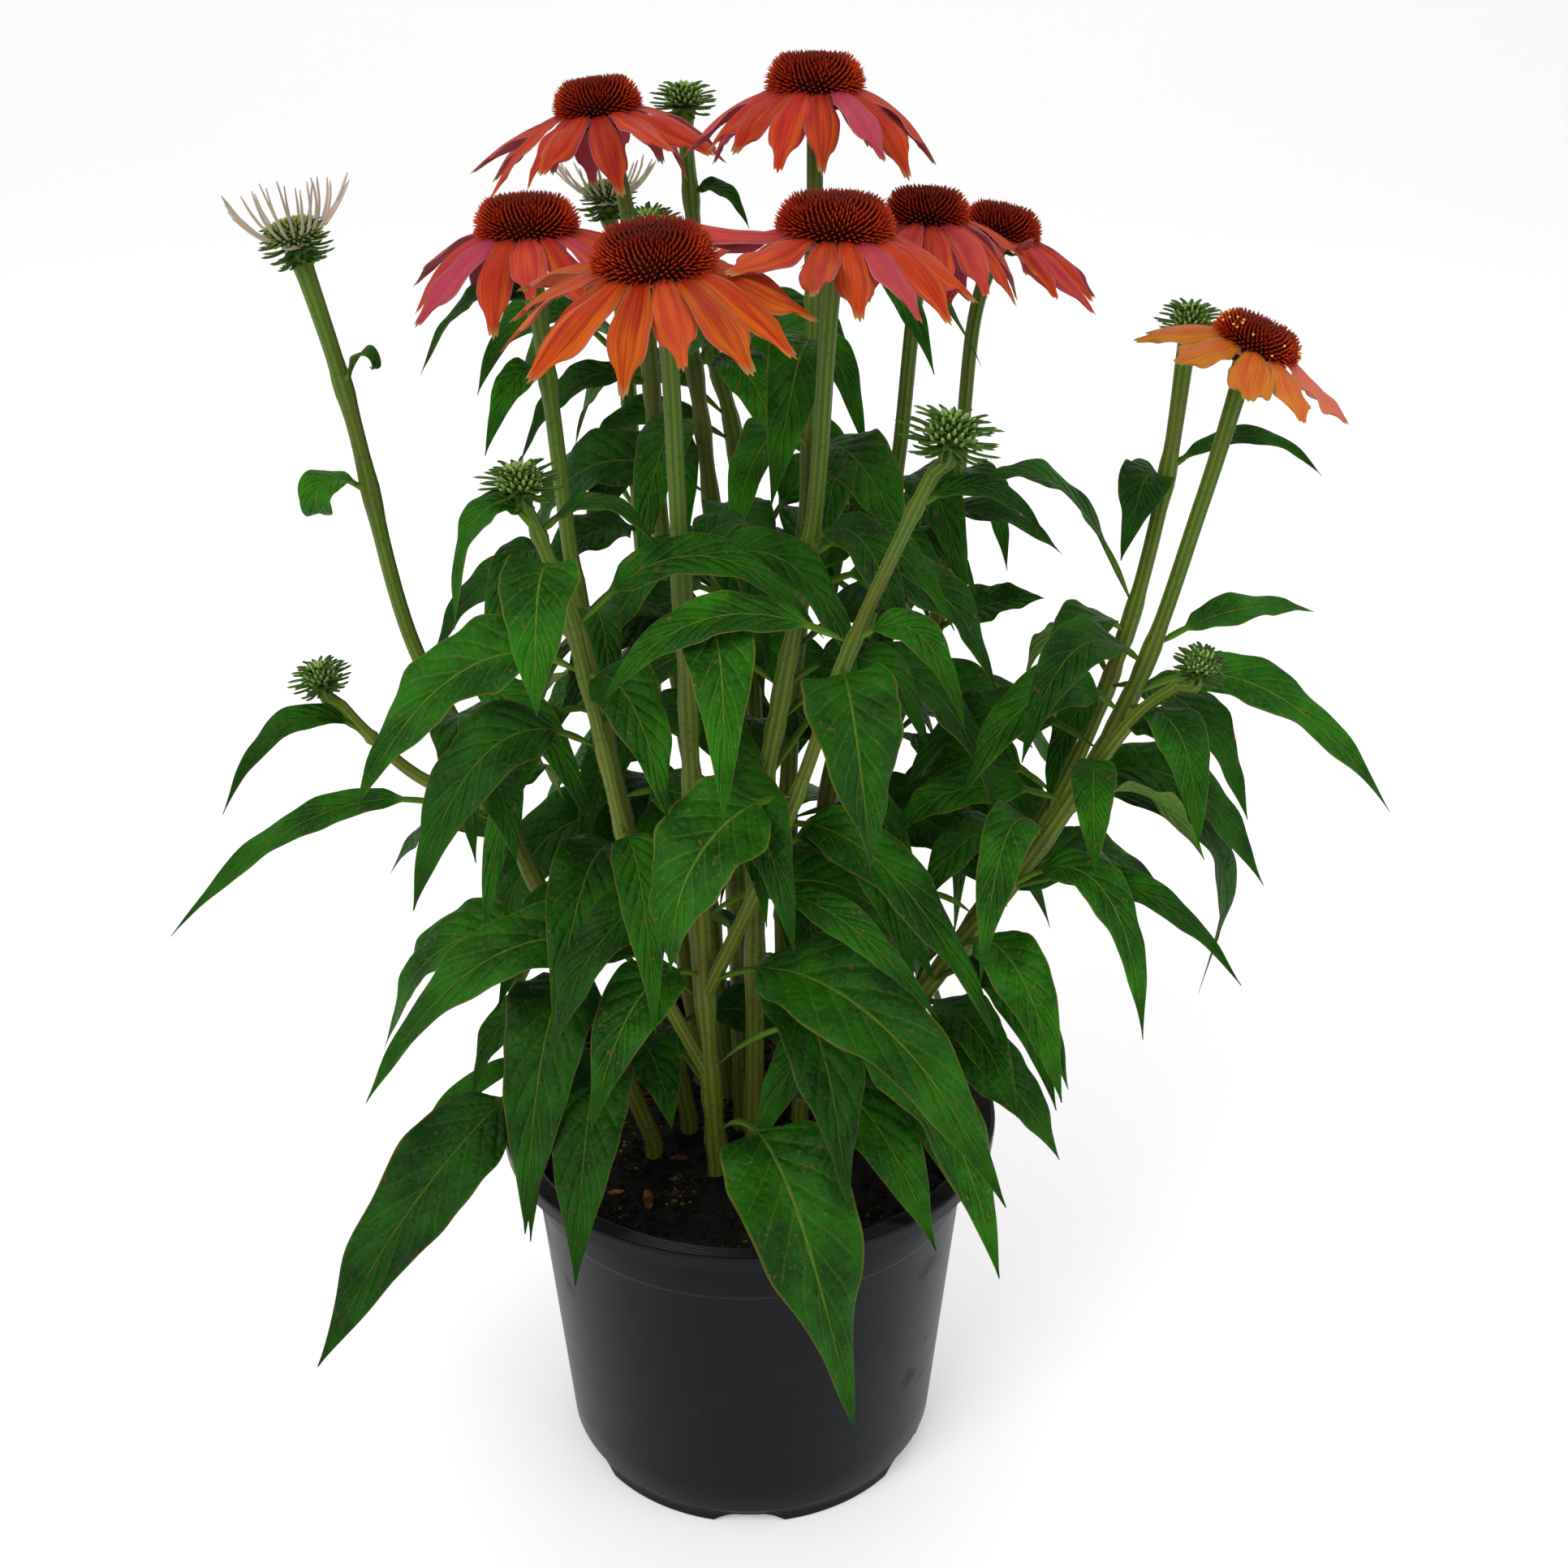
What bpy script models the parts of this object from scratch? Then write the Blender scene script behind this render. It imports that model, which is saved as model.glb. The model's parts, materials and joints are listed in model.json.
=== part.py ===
"""A coneflower with eight drooping blooms, growing in its round nursery pot.

Metres, +Z up. The origin is the middle of the pot's underside, +X is the plant's right and
-Y its front. Angles are in degrees: an azimuth of 0 points right, 90 to the back and 270 to
the front.
"""

import math
import random
from dataclasses import dataclass, replace

import bmesh
import bpy
from mathutils import Matrix, Vector
from mathutils.bvhtree import BVHTree

OBJECT_NAME = "coneflower_in_pot"
GAP = 0.0003

# Pot and soil
RIM_RADIUS = 0.0955
RIM_HEIGHT = 0.146
LIP_DEPTH = 0.007
SHOULDER_RADIUS = 0.0848
SHOULDER_HEIGHT = 0.119
WALL_TOP_RADIUS = 0.0836
WALL_FOOT_RADIUS = 0.0736
FOOT_RADIUS = 0.0715
FOOT_HEIGHT = 0.0075
WALL = 0.0015
FLOOR = 0.002
POT_SIDES = 32
DRAIN_COUNT = 6
DRAIN_WIDTH = 0.020
DRAIN_HEIGHT = 0.0045
DRAIN_DEPTH = 0.012
SOIL_TOP = 0.129
SOIL_LUMP = 0.0012
SOIL_SIDES = 20
HOLE_DEPTH = 0.028
HOLE_SIDES = 8

# Stems
STEM_FOOT = SOIL_TOP + 0.006
STEM_LOW_RADIUS = 0.0034
STEM_MID_RADIUS = 0.0027
STEM_TOP_RADIUS = 0.0034
BRANCH_SHARE = 0.8
STEM_PIECES = 1.6
NECK_LENGTH = 0.006

# Heads, measured up the head's own axis from the top of its stem
BRACT_THICKNESS = 0.0015
BRACT_NOTCH_SHARE = 0.42
BRACT_NOTCH_THINNING = 0.9
BRACT_TIP_THINNING = 0.55
BLOOM_BRACTS = 6
BLOOM_BRACT_SHARE = 0.62
BLOOM_BRACT_FALL = 0.0045
BUD_BRACTS = 8
BUD_BRACT_FALL = 0.002
DISC_THICKNESS = 0.0022
DISC_SHARE = 0.55
PETAL_THICKNESS = 0.0007
PETAL_START = -4
PETAL_BEND = 1.35
PETAL_SHARES = (0.34, 0.72, 1)
PETAL_WIDTHS = (0.72, 1.0, 0.6)
YOUNG_SHARES = (0.25, 0.6, 1)
YOUNG_WIDTHS = (0.8, 1.0, 0.4)
SPINE_LENGTH = 0.0022
SPINE_SPREAD = 0.8
SPINE_RISE = 0.35
CONE_SIDES = 12
CONE_RINGS = 5
BUD_SPINE_LENGTH = 0.0008
BUD_SIDES = 10
BUD_RINGS = 3

# Leaves
LEAF_THICKNESS = 0.0007
PETIOLE_HALF_WIDTH = 0.0015
PETIOLE_THICKNESS = 0.0018
LEAF_FOLD = 0.22
FACE_FRONT = 36
WIDE_LEAF = 0.019
BLADE_BASE_POWER = 0.55
BLADE_TIP_POWER = 1.1
CLEARANCE = 0.0022
GOLDEN_ANGLE = 137.5

LEAF_GREEN = (0.05, 0.19, 0.03)
PETAL_RED = (0.74, 0.10, 0.03)
PETAL_YELLOW = (0.80, 0.30, 0.06)
PETAL_YOUNG = (0.42, 0.47, 0.22)
CONE_RUST = (0.33, 0.04, 0.01)
BUD_GREEN = (0.36, 0.42, 0.08)
POT_CHARCOAL = (0.030, 0.034, 0.036)
SOIL_BROWN = (0.020, 0.015, 0.010)


@dataclass(frozen=True)
class Stem:
    """A stem's centreline runs through its route, or leaves its parent part of the way up."""

    route: tuple
    parent: str = ""
    leaves_parent_at: float = 0.0


@dataclass(frozen=True)
class Leaf:
    """A leaf arches from its stem through a middle point, `rise` high, to its tip.

    Its blade rolls to show its upper face to the front, unless the leaf gives its own roll.
    """

    stem: str
    at: float
    azimuth: float
    reach: float
    rise: float
    drop: float
    width: float
    petiole: float = 0.15
    middle: float = 0.5
    sweep: float = 0.0
    roll: float | None = None


@dataclass(frozen=True)
class Bloom:
    """An open flower: a ring of drooping petals under a spiny cone."""

    stem: str
    cone_radius: float
    cone_height: float
    petal_length: float
    petal_count: int
    petal_width: float
    droop: float
    lean: float = 0.0
    lean_azimuth: float = 0.0
    colour: tuple = PETAL_RED
    young: bool = False


@dataclass(frozen=True)
class Bud:
    """A closed head: a small dome in a ring of green bracts."""

    stem: str
    radius: float
    height: float
    bract_reach: float


STEMS = {
    "centre": Stem((
        (-0.012, -0.023, STEM_FOOT), (-0.015, -0.030, 0.208), (-0.018, -0.030, 0.292),
        (-0.020, -0.042, 0.392), (-0.021, -0.056, 0.451), (-0.024, -0.063, 0.473))),
    "centre_front": Stem((
        (0.004, -0.050, 0.265), (0.019, -0.060, 0.310), (0.033, -0.070, 0.358),
        (0.051, -0.078, 0.405), (0.062, -0.080, 0.429)), "centre", 0.21),
    "centre_left": Stem((
        (-0.033, -0.038, 0.228), (-0.041, -0.050, 0.288), (-0.053, -0.060, 0.363),
        (-0.063, -0.060, 0.397), (-0.067, -0.060, 0.409)), "centre", 0.11),
    "left": Stem((
        (-0.037, -0.010, STEM_FOOT), (-0.055, -0.004, 0.183), (-0.070, 0.000, 0.221),
        (-0.095, 0.005, 0.282), (-0.119, 0.008, 0.338), (-0.133, 0.010, 0.418),
        (-0.145, 0.010, 0.470))),
    "left_low": Stem((
        (-0.117, 0.000, 0.285), (-0.135, -0.005, 0.306), (-0.148, -0.005, 0.324)), "left", 0.47),
    "inner_left": Stem((
        (-0.024, 0.006, STEM_FOOT), (-0.038, 0.010, 0.216), (-0.052, 0.014, 0.298),
        (-0.061, 0.018, 0.358), (-0.066, 0.020, 0.416), (-0.071, 0.020, 0.470))),
    "back_left": Stem((
        (-0.008, 0.030, STEM_FOOT), (-0.021, 0.062, 0.242), (-0.033, 0.085, 0.336),
        (-0.038, 0.096, 0.425), (-0.046, 0.100, 0.478), (-0.053, 0.100, 0.500))),
    "back_middle": Stem((
        (0.002, 0.022, STEM_FOOT), (0.002, 0.075, 0.272), (-0.005, 0.105, 0.376),
        (-0.017, 0.120, 0.424), (-0.023, 0.130, 0.483), (-0.024, 0.130, 0.503))),
    "middle": Stem((
        (-0.003, 0.009, STEM_FOOT), (-0.007, 0.050, 0.283), (-0.013, 0.070, 0.357),
        (-0.021, 0.078, 0.425), (-0.030, 0.064, 0.459), (-0.033, 0.056, 0.468))),
    "back_tall": Stem((
        (0.012, 0.034, STEM_FOOT), (0.016, 0.040, 0.287), (0.023, 0.048, 0.391),
        (0.024, 0.050, 0.457), (0.024, 0.050, 0.495), (0.024, 0.050, 0.512))),
    "inner_right": Stem((
        (0.002, -0.006, STEM_FOOT), (0.004, -0.014, 0.262), (0.013, -0.020, 0.327),
        (0.023, -0.026, 0.387), (0.027, -0.030, 0.448), (0.029, -0.030, 0.477))),
    "mid_right": Stem((
        (0.020, 0.012, STEM_FOOT), (0.027, 0.035, 0.238), (0.046, 0.065, 0.327),
        (0.056, 0.078, 0.377), (0.061, 0.086, 0.430), (0.065, 0.088, 0.464))),
    "back_right": Stem((
        (0.026, 0.034, STEM_FOOT), (0.044, 0.075, 0.236), (0.074, 0.105, 0.302),
        (0.083, 0.122, 0.358), (0.088, 0.132, 0.421), (0.096, 0.132, 0.452))),
    "right": Stem((
        (0.025, -0.012, STEM_FOOT), (0.063, -0.012, 0.200), (0.108, -0.012, 0.268),
        (0.137, -0.005, 0.324), (0.155, 0.000, 0.387), (0.166, 0.000, 0.437))),
    "right_low": Stem((
        (0.134, -0.022, 0.318), (0.146, -0.030, 0.333), (0.152, -0.034, 0.340)), "right", 0.46),
    "outer_right": Stem((
        (0.037, 0.006, STEM_FOOT), (0.075, 0.018, 0.197), (0.116, 0.030, 0.261),
        (0.138, 0.036, 0.321), (0.150, 0.040, 0.382), (0.154, 0.040, 0.439))),
    "rear_left": Stem((
        (-0.020, 0.040, STEM_FOOT), (-0.036, 0.090, 0.229), (-0.044, 0.125, 0.323),
        (-0.050, 0.142, 0.403), (-0.054, 0.154, 0.449), (-0.056, 0.156, 0.463))),
}

BLOOMS = (
    Bloom("centre", 0.0182, 0.0138, 0.049, 16, 0.0118, 50),
    Bloom("inner_right", 0.0180, 0.0138, 0.048, 16, 0.0115, 50),
    Bloom("inner_left", 0.0170, 0.0134, 0.047, 15, 0.0115, 54),
    Bloom("back_left", 0.0157, 0.0132, 0.048, 15, 0.0115, 51),
    Bloom("back_tall", 0.0163, 0.0130, 0.045, 15, 0.0115, 54),
    Bloom("mid_right", 0.0153, 0.0126, 0.045, 15, 0.0108, 56),
    Bloom("back_right", 0.0153, 0.0126, 0.045, 15, 0.0108, 52, 6, 0),
    Bloom("right", 0.0153, 0.0124, 0.036, 9, 0.0122, 32, 20, 350, PETAL_YELLOW),
    Bloom("left", 0.0090, 0.0090, 0.022, 12, 0.0028, -56, 8, 180, PETAL_YOUNG, True),
    Bloom("rear_left", 0.0090, 0.0090, 0.020, 12, 0.0028, -50, 0, 0, PETAL_YOUNG, True),
)

BUDS = (
    Bud("centre_front", 0.0080, 0.0090, 0.0155),
    Bud("centre_left", 0.0070, 0.0080, 0.0135),
    Bud("left_low", 0.0060, 0.0070, 0.0110),
    Bud("back_middle", 0.0070, 0.0080, 0.0125),
    Bud("middle", 0.0065, 0.0075, 0.0120),
    Bud("right_low", 0.0055, 0.0060, 0.0100),
    Bud("outer_right", 0.0065, 0.0070, 0.0120),
)

# Leaves seen from the front, each one's size judged by eye: stem, height up it, azimuth,
# reach, rise, drop, width, petiole share, middle, sweep
FRONT_LEAVES = (
    Leaf("left", 0.15, 220, 0.135, -0.015, -0.085, 0.034, 0.40, 0.45),
    Leaf("left", 0.13, 190, 0.085, -0.010, -0.050, 0.009, 0.30, 0.60, 5),
    Leaf("left", 0.20, 205, 0.050, 0.005, -0.025, 0.014, 0.30, 0.60, 5),
    Leaf("left", 0.20, 255, 0.075, 0.005, -0.055, 0.016, 0.30, 0.50, 5),
    Leaf("left", 0.45, 185, 0.125, 0.010, -0.040, 0.013, 0.30),
    Leaf("left", 0.77, 240, 0.035, 0.005, -0.020, 0.014, 0.10, 0.60, 15),
    Leaf("left", 0.85, 315, 0.025, 0.015, 0.010, 0.006, 0.10, 0.60),
    Leaf("left_low", 0.62, 195, 0.055, 0.010, -0.020, 0.011),
    Leaf("centre", 0.20, 195, 0.125, 0.035, -0.020, 0.026, 0.20),
    Leaf("centre", 0.22, 320, 0.140, 0.025, -0.030, 0.034, 0.20, 0.50, 5),
    Leaf("centre", 0.03, 295, 0.115, 0.035, -0.045, 0.042, 0.35, 0.60, 5),
    Leaf("centre_left", 0.55, 195, 0.080, 0.005, -0.035, 0.028, 0.20, 0.45, 10),
    Leaf("centre_left", 0.48, 210, 0.070, 0.010, -0.040, 0.024, 0.20, 0.55),
    Leaf("centre_left", 0.78, 200, 0.035, 0.010, -0.025, 0.011),
    Leaf("centre_left", 0.78, 345, 0.040, 0.012, 0.000, 0.008),
    Leaf("centre_left", 0.70, 265, 0.035, 0.000, -0.035, 0.024, 0.15, 0.65),
    Leaf("centre_left", 0.60, 5, 0.080, 0.025, -0.005, 0.015, 0.15, 0.50, 5),
    Leaf("centre_left", 0.55, 320, 0.035, -0.003, -0.040, 0.022, 0.15, 0.55),
    Leaf("centre_left", 0.40, 290, 0.035, -0.010, -0.060, 0.017, 0.15, 0.60),
    Leaf("centre_front", 0.62, 190, 0.080, 0.010, -0.015, 0.015, 0.15, 0.55, 5),
    Leaf("centre_front", 0.38, 220, 0.060, -0.005, -0.045, 0.034, 0.20, 0.60),
    Leaf("centre_front", 0.58, 280, 0.050, -0.003, -0.045, 0.030, 0.15, 0.65, 5),
    Leaf("centre_front", 0.62, 330, 0.040, 0.008, -0.020, 0.012, 0.15, 0.55),
    Leaf("centre_front", 0.82, 350, 0.040, 0.008, -0.005, 0.008),
    Leaf("centre_front", 0.20, 330, 0.070, 0.000, -0.030, 0.013, 0.20, 0.50, 5),
    Leaf("inner_left", 0.42, 205, 0.050, -0.010, -0.085, 0.015, 0.20, 0.65),
    Leaf("inner_left", 0.92, 165, 0.045, 0.002, -0.025, 0.011, 0.10, 0.55, 10),
    Leaf("inner_left", 0.83, 230, 0.030, 0.003, -0.020, 0.012, 0.10),
    Leaf("back_left", 0.55, 190, 0.055, 0.003, -0.025, 0.014),
    Leaf("back_middle", 0.50, 305, 0.025, 0.010, 0.000, 0.009, 0.10, 0.60, 10),
    Leaf("back_middle", 0.75, 340, 0.025, 0.003, -0.010, 0.008, 0.10),
    Leaf("inner_right", 0.02, 310, 0.105, 0.035, -0.005, 0.031, 0.30, 0.45),
    Leaf("inner_right", 0.22, 335, 0.095, 0.000, -0.065, 0.022, 0.20, 0.50, 5),
    Leaf("mid_right", 0.25, 300, 0.060, 0.010, -0.015, 0.010, 0.20, 0.70, 5),
    Leaf("mid_right", 0.52, 320, 0.080, 0.015, 0.005, 0.013, 0.20, 0.60, 10),
    Leaf("mid_right", 0.50, 310, 0.055, 0.005, -0.010, 0.011, 0.15, 0.60, 10),
    Leaf("back_right", 0.27, 300, 0.065, 0.003, -0.065, 0.014, 0.20, 0.65),
    Leaf("back_right", 0.28, 325, 0.090, -0.010, -0.055, 0.027, 0.20, 0.55, 10),
    Leaf("back_right", 0.40, 340, 0.045, 0.014, 0.020, 0.020, 0.20, 0.45),
    Leaf("right", 0.33, 340, 0.090, 0.013, -0.020, 0.013, 0.20, 0.50, 5),
    Leaf("right", 0.58, 350, 0.095, 0.008, -0.035, 0.020, 0.20, 0.45),
    Leaf("right", 0.64, 20, 0.065, 0.010, 0.005, 0.013, 0.20),
    Leaf("right", 0.62, 220, 0.060, 0.015, -0.020, 0.019, 0.15, 0.60),
    Leaf("right", 0.55, 310, 0.045, 0.006, -0.010, 0.016, 0.15, 0.60, 10),
    Leaf("right", 0.50, 280, 0.040, 0.000, -0.025, 0.016, 0.15, 0.60, 5),
    Leaf("right", 0.15, 335, 0.070, 0.002, -0.035, 0.024, 0.20, 0.55, 5),
    Leaf("outer_right", 0.40, 350, 0.070, -0.005, -0.080, 0.020, 0.15, 0.80),
    Leaf("outer_right", 0.55, 225, 0.035, -0.008, -0.040, 0.012, 0.15, 0.60),
    Leaf("outer_right", 0.80, 240, 0.030, 0.005, -0.020, 0.019, 0.10, 0.55, 8),
    Leaf("outer_right", 0.65, 205, 0.070, 0.050, 0.055, 0.016, 0.20),
    Leaf("outer_right", 0.82, 355, 0.055, 0.013, 0.000, 0.008, 0.10),
    Leaf("outer_right", 0.20, 340, 0.055, 0.000, -0.045, 0.021, 0.20),
    Leaf("right", 0.05, 322, 0.085, 0.030, -0.035, 0.026, 0.30),
)

# The leaves that fill the plant follow the stems' own order of growth
FILL_HEIGHTS = (0.12, 0.26, 0.40, 0.56)
FILL_LONG = 0.100
FILL_SHORT = 0.030
FILL_WIDTH_SHARE = 0.30
FILL_RISE_SHARE = 0.20
FILL_FALL_SHARE = 0.32
FILL_ROLL = 25
STEM_TURN = 2.3
TURNS = (0, 8, -8, 16, -16, 24, -24, 36, -36, 48, -48)
LIFTS = (0, 0.008, -0.008, 0.016)
PETAL_DROOPS = (0, 12, -25, 24, -45, 36, -65, -85)
CROWDED_DISTANCE = 0.085
CROWDED_DROOP = 70
CROWDED_COSINE = 0.8


def catmull_rom(points, t):
    """Point at share t of the way along a smooth curve through the points."""
    last = len(points) - 1
    step = min(int(t * last), last - 1)
    u = t * last - step
    b = Vector(points[step])
    c = Vector(points[step + 1])
    a = Vector(points[step - 1]) if step > 0 else 2 * b - c
    d = Vector(points[step + 2]) if step + 2 <= last else 2 * c - b
    return 0.5 * (
        2 * b + (c - a) * u
        + (2 * a - 5 * b + 4 * c - d) * u ** 2
        + (3 * b - a - 3 * c + d) * u ** 3
    )


def stem_route(name):
    """Route of a stem, starting inside its parent if it is a branch."""
    stem = STEMS[name]
    if not stem.parent:
        return stem.route
    start = stem_point(stem.parent, stem.leaves_parent_at)
    return (tuple(start),) + stem.route


def stem_point(name, t):
    return catmull_rom(stem_route(name), t)


def stem_top(name):
    """End of a stem and the direction it points in there."""
    end = stem_point(name, 1.0)
    return end, (end - stem_point(name, 0.96)).normalized()


def stem_radius(t):
    """Stems are thickest at the foot and swell a little under the head."""
    swell = max(0.0, (t - 0.8) / 0.2)
    low = STEM_LOW_RADIUS + (STEM_MID_RADIUS - STEM_LOW_RADIUS) * min(1.0, 2 * t)
    return low + (STEM_TOP_RADIUS - STEM_MID_RADIUS) * swell ** 2


def stem_line(name):
    """Points and radii along a stem: straight in the soil, and square to its head on top."""
    stem = STEMS[name]
    count = math.ceil(STEM_PIECES * (len(stem_route(name)) - 1))
    share = BRANCH_SHARE if stem.parent else 1.0
    points = [stem_point(name, i / count) for i in range(count + 1)]
    radii = [share * stem_radius(i / count) for i in range(count + 1)]
    foot, axis = head_place(name)
    points[-1:] = [foot - NECK_LENGTH * axis, foot - BRACT_THICKNESS / 3 * axis]
    radii.append(radii[-1])
    if not stem.parent:
        points.insert(0, Vector((points[0].x, points[0].y, SOIL_TOP - HOLE_DEPTH + 0.001)))
        radii.insert(0, radii[0])
    return points, radii


def owner(stem_name):
    """The node of a stem: a branch is one piece with the stem that it grows from."""
    return "shoot_" + (STEMS[stem_name].parent or stem_name)


def level(azimuth):
    turn = math.radians(azimuth)
    return Vector((math.cos(turn), math.sin(turn), 0))


def leaf_path(leaf):
    """Root, control and tip of the arch that a leaf's midrib follows."""
    root = stem_point(leaf.stem, leaf.at)
    tip = root + leaf.reach * level(leaf.azimuth) + Vector((0, 0, leaf.drop))
    middle = (root + leaf.middle * leaf.reach * level(leaf.azimuth - leaf.sweep)
              + Vector((0, 0, leaf.rise)))
    return root, 2 * middle - (root + tip) / 2, tip


def blade_outline(v):
    """Half width of a blade, as a share of its widest, from its base at 0 to its tip at 1."""
    widest_at = BLADE_BASE_POWER / (BLADE_BASE_POWER + BLADE_TIP_POWER)
    peak = widest_at ** BLADE_BASE_POWER * (1 - widest_at) ** BLADE_TIP_POWER
    return v ** BLADE_BASE_POWER * (1 - v) ** BLADE_TIP_POWER / peak


def leaf_roll(leaf):
    """Turn of a blade about its midrib, in radians."""
    roll = -FACE_FRONT * math.cos(math.radians(leaf.azimuth)) if leaf.roll is None else leaf.roll
    return math.radians(roll)


def leaf_rows(leaf, blade_steps):
    """Sections of a leaf: centre, sideways direction, normal, half width, thickness, fold."""
    root, control, tip = leaf_path(leaf)
    rows = []
    shares = [0, leaf.petiole] + [leaf.petiole + (1 - leaf.petiole) * v for v in blade_steps]
    for u in shares:
        centre = (1 - u) ** 2 * root + 2 * u * (1 - u) * control + u ** 2 * tip
        tangent = ((1 - u) * (control - root) + u * (tip - control)).normalized()
        side = tangent.cross(Vector((0, 0, 1)))
        if side.length < 0.15:
            side = level(leaf.azimuth - 90)
        roll = -leaf_roll(leaf) * min(1, u / leaf.petiole)
        side = Matrix.Rotation(roll, 3, tangent) @ side.normalized()
        v = max(0.0, (u - leaf.petiole) / (1 - leaf.petiole))
        half = max(PETIOLE_HALF_WIDTH, leaf.width / 2 * blade_outline(v))
        if u == 1:
            half = PETIOLE_HALF_WIDTH / 2
        thickness = PETIOLE_THICKNESS if v == 0 else LEAF_THICKNESS
        fold = LEAF_FOLD * half if v > 0 else 0
        rows.append((centre, side, side.cross(tangent), half, thickness, fold))
    return rows


def ribbon(rows, extra=0.0):
    """Closed thin solid through sections three points wide, split alike on both faces.

    The first and last sections are plain triangles: two edges on top and one point below.
    """
    vertices = []
    last = len(rows) - 1
    for row, (centre, side, normal, half, thickness, fold) in enumerate(rows):
        up = normal * (thickness + extra) / 2
        left = centre - side * half + normal * fold
        right = centre + side * half + normal * fold
        if row in (0, last):
            vertices += [left + up, right + up, centre - up]
        else:
            vertices += [left + up, centre + up, right + up, right - up, centre - up, left - up]
    faces = []
    for row in range(1, last - 1):
        a = 6 * row - 3
        b = a + 6
        faces += [(a, a + 1, b + 1), (a, b + 1, b), (a + 1, a + 2, b + 1), (a + 2, b + 2, b + 1)]
        faces += [(a + 5, b + 4, a + 4), (a + 5, b + 5, b + 4)]
        faces += [(a + 4, b + 4, a + 3), (a + 3, b + 4, b + 3)]
        faces += [(a + 2, a + 3, b + 3), (a + 2, b + 3, b + 2)]
        faces += [(a + 5, a, b), (a + 5, b, b + 5)]
    end = 6 * last - 3
    for (left, right, below), full in (((0, 1, 2), 3), ((end, end + 1, end + 2), end - 6)):
        faces += [(left, full, full + 1), (left, full + 1, right), (right, full + 1, full + 2)]
        faces += [(right, full + 2, full + 3), (right, full + 3, below)]
        faces += [(below, full + 3, full + 4), (below, full + 4, full + 5)]
        faces += [(below, full + 5, left), (left, full + 5, full), (left, right, below)]
    return vertices, faces


def blade_steps(leaf):
    """Small leaves need fewer sections than large ones."""
    return (0.26, 0.64, 1) if leaf.width > WIDE_LEAF else (0.42, 1)


def tube(points, radii, sides=6):
    """Closed tube through the points, used to keep leaves clear of stems and heads."""
    vertices = []
    for i, (point, radius) in enumerate(zip(points, radii)):
        ahead = points[min(i + 1, len(points) - 1)] - points[max(i - 1, 0)]
        side = ahead.cross(Vector((0, 1, 0))).normalized()
        other = side.cross(ahead).normalized()
        for k in range(sides):
            turn = 2 * math.pi * k / sides
            vertices.append(point + radius * (math.cos(turn) * side + math.sin(turn) * other))
    faces = []
    for i in range(len(points) - 1):
        for k in range(sides):
            a = i * sides + k
            b = i * sides + (k + 1) % sides
            faces += [(a, b, b + sides), (a, b + sides, a + sides)]
    return vertices, faces


def head_place(stem_name):
    """Foot and axis of the head on a stem: nearly upright, or leaning as the bloom says."""
    foot, axis = stem_top(stem_name)
    axis = (axis + Vector((0, 0, 2))).normalized()
    for bloom in BLOOMS:
        if bloom.stem == stem_name:
            lean = math.sin(math.radians(bloom.lean)) * level(bloom.lean_azimuth)
            axis = (axis + lean).normalized()
    return foot, axis


def axis_frame(foot, axis):
    """Matrix that stands a shape built along +Z on a foot point, along an axis."""
    turn = Vector((0, 0, 1)).rotation_difference(axis).to_matrix().to_4x4()
    return Matrix.Translation(foot) @ turn


def ring_frame(bloom):
    """Matrix that puts a petal ring, built round +Z, on its stem."""
    foot, axis = head_place(bloom.stem)
    return axis_frame(foot + axis * (GAP + DISC_THICKNESS / 2), axis)


def petal_steps(bloom):
    """Where a petal's sections lie along it, and their share of its full width."""
    shares = YOUNG_SHARES if bloom.young else PETAL_SHARES
    return shares, YOUNG_WIDTHS if bloom.young else PETAL_WIDTHS


def crowding(bloom, index):
    """Extra droop of a petal that points at a neighbouring bloom."""
    foot = head_place(bloom.stem)[0]
    out = level(360 * (index + 0.5) / bloom.petal_count)
    extra = 0
    for other in BLOOMS:
        away = head_place(other.stem)[0] - foot
        away.z = 0
        if bloom.young or other.stem == bloom.stem or away.length > CROWDED_DISTANCE:
            continue
        if away.normalized().dot(out) > CROWDED_COSINE:
            extra = CROWDED_DROOP * (1 - away.length / CROWDED_DISTANCE)
    return extra


def petal_rows(bloom, index, extra_droop, shares, widths):
    """Sections of a petal, which leaves the disc level and hangs down towards its tip."""
    draw = random.Random(f"{bloom.stem} petal {index}")
    out = level(360 * (index + 0.5) / bloom.petal_count)
    up = Vector((0, 0, 1))
    length = bloom.petal_length * draw.uniform(0.92, 1.06)
    droop = bloom.droop + draw.uniform(-10, 10) + extra_droop
    root = out * DISC_SHARE * bloom.cone_radius * math.cos(math.pi / bloom.petal_count)
    rows = []
    steps = 12
    for share, width in zip(shares, widths):
        here = root.copy()
        for k in range(steps):
            angle = petal_slope(droop, share * (k + 0.5) / steps)
            here += length * share / steps * (math.cos(angle) * out + math.sin(angle) * up)
        angle = petal_slope(droop, share)
        normal = math.cos(angle) * up - math.sin(angle) * out
        half = bloom.petal_width * width / 2
        rows.append((here, out.cross(up), normal, half, PETAL_THICKNESS, 0))
    return rows


def petal_slope(droop, share):
    """Slope of a petal part of the way along it: almost level first, then falling."""
    return math.radians(PETAL_START - (droop + PETAL_START) * min(1, share * PETAL_BEND))


def petal_guard(bloom, index, extra_droop):
    """Space that a petal takes up, from the disc's rim to its tip."""
    shares, widths = petal_steps(bloom)
    rows = petal_rows(bloom, index, extra_droop, (0.05,) + shares, (0.35,) + widths)
    vertices, faces = ribbon(rows, CLEARANCE / 2)
    place = ring_frame(bloom)
    return [place @ vertex for vertex in vertices], faces


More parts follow.
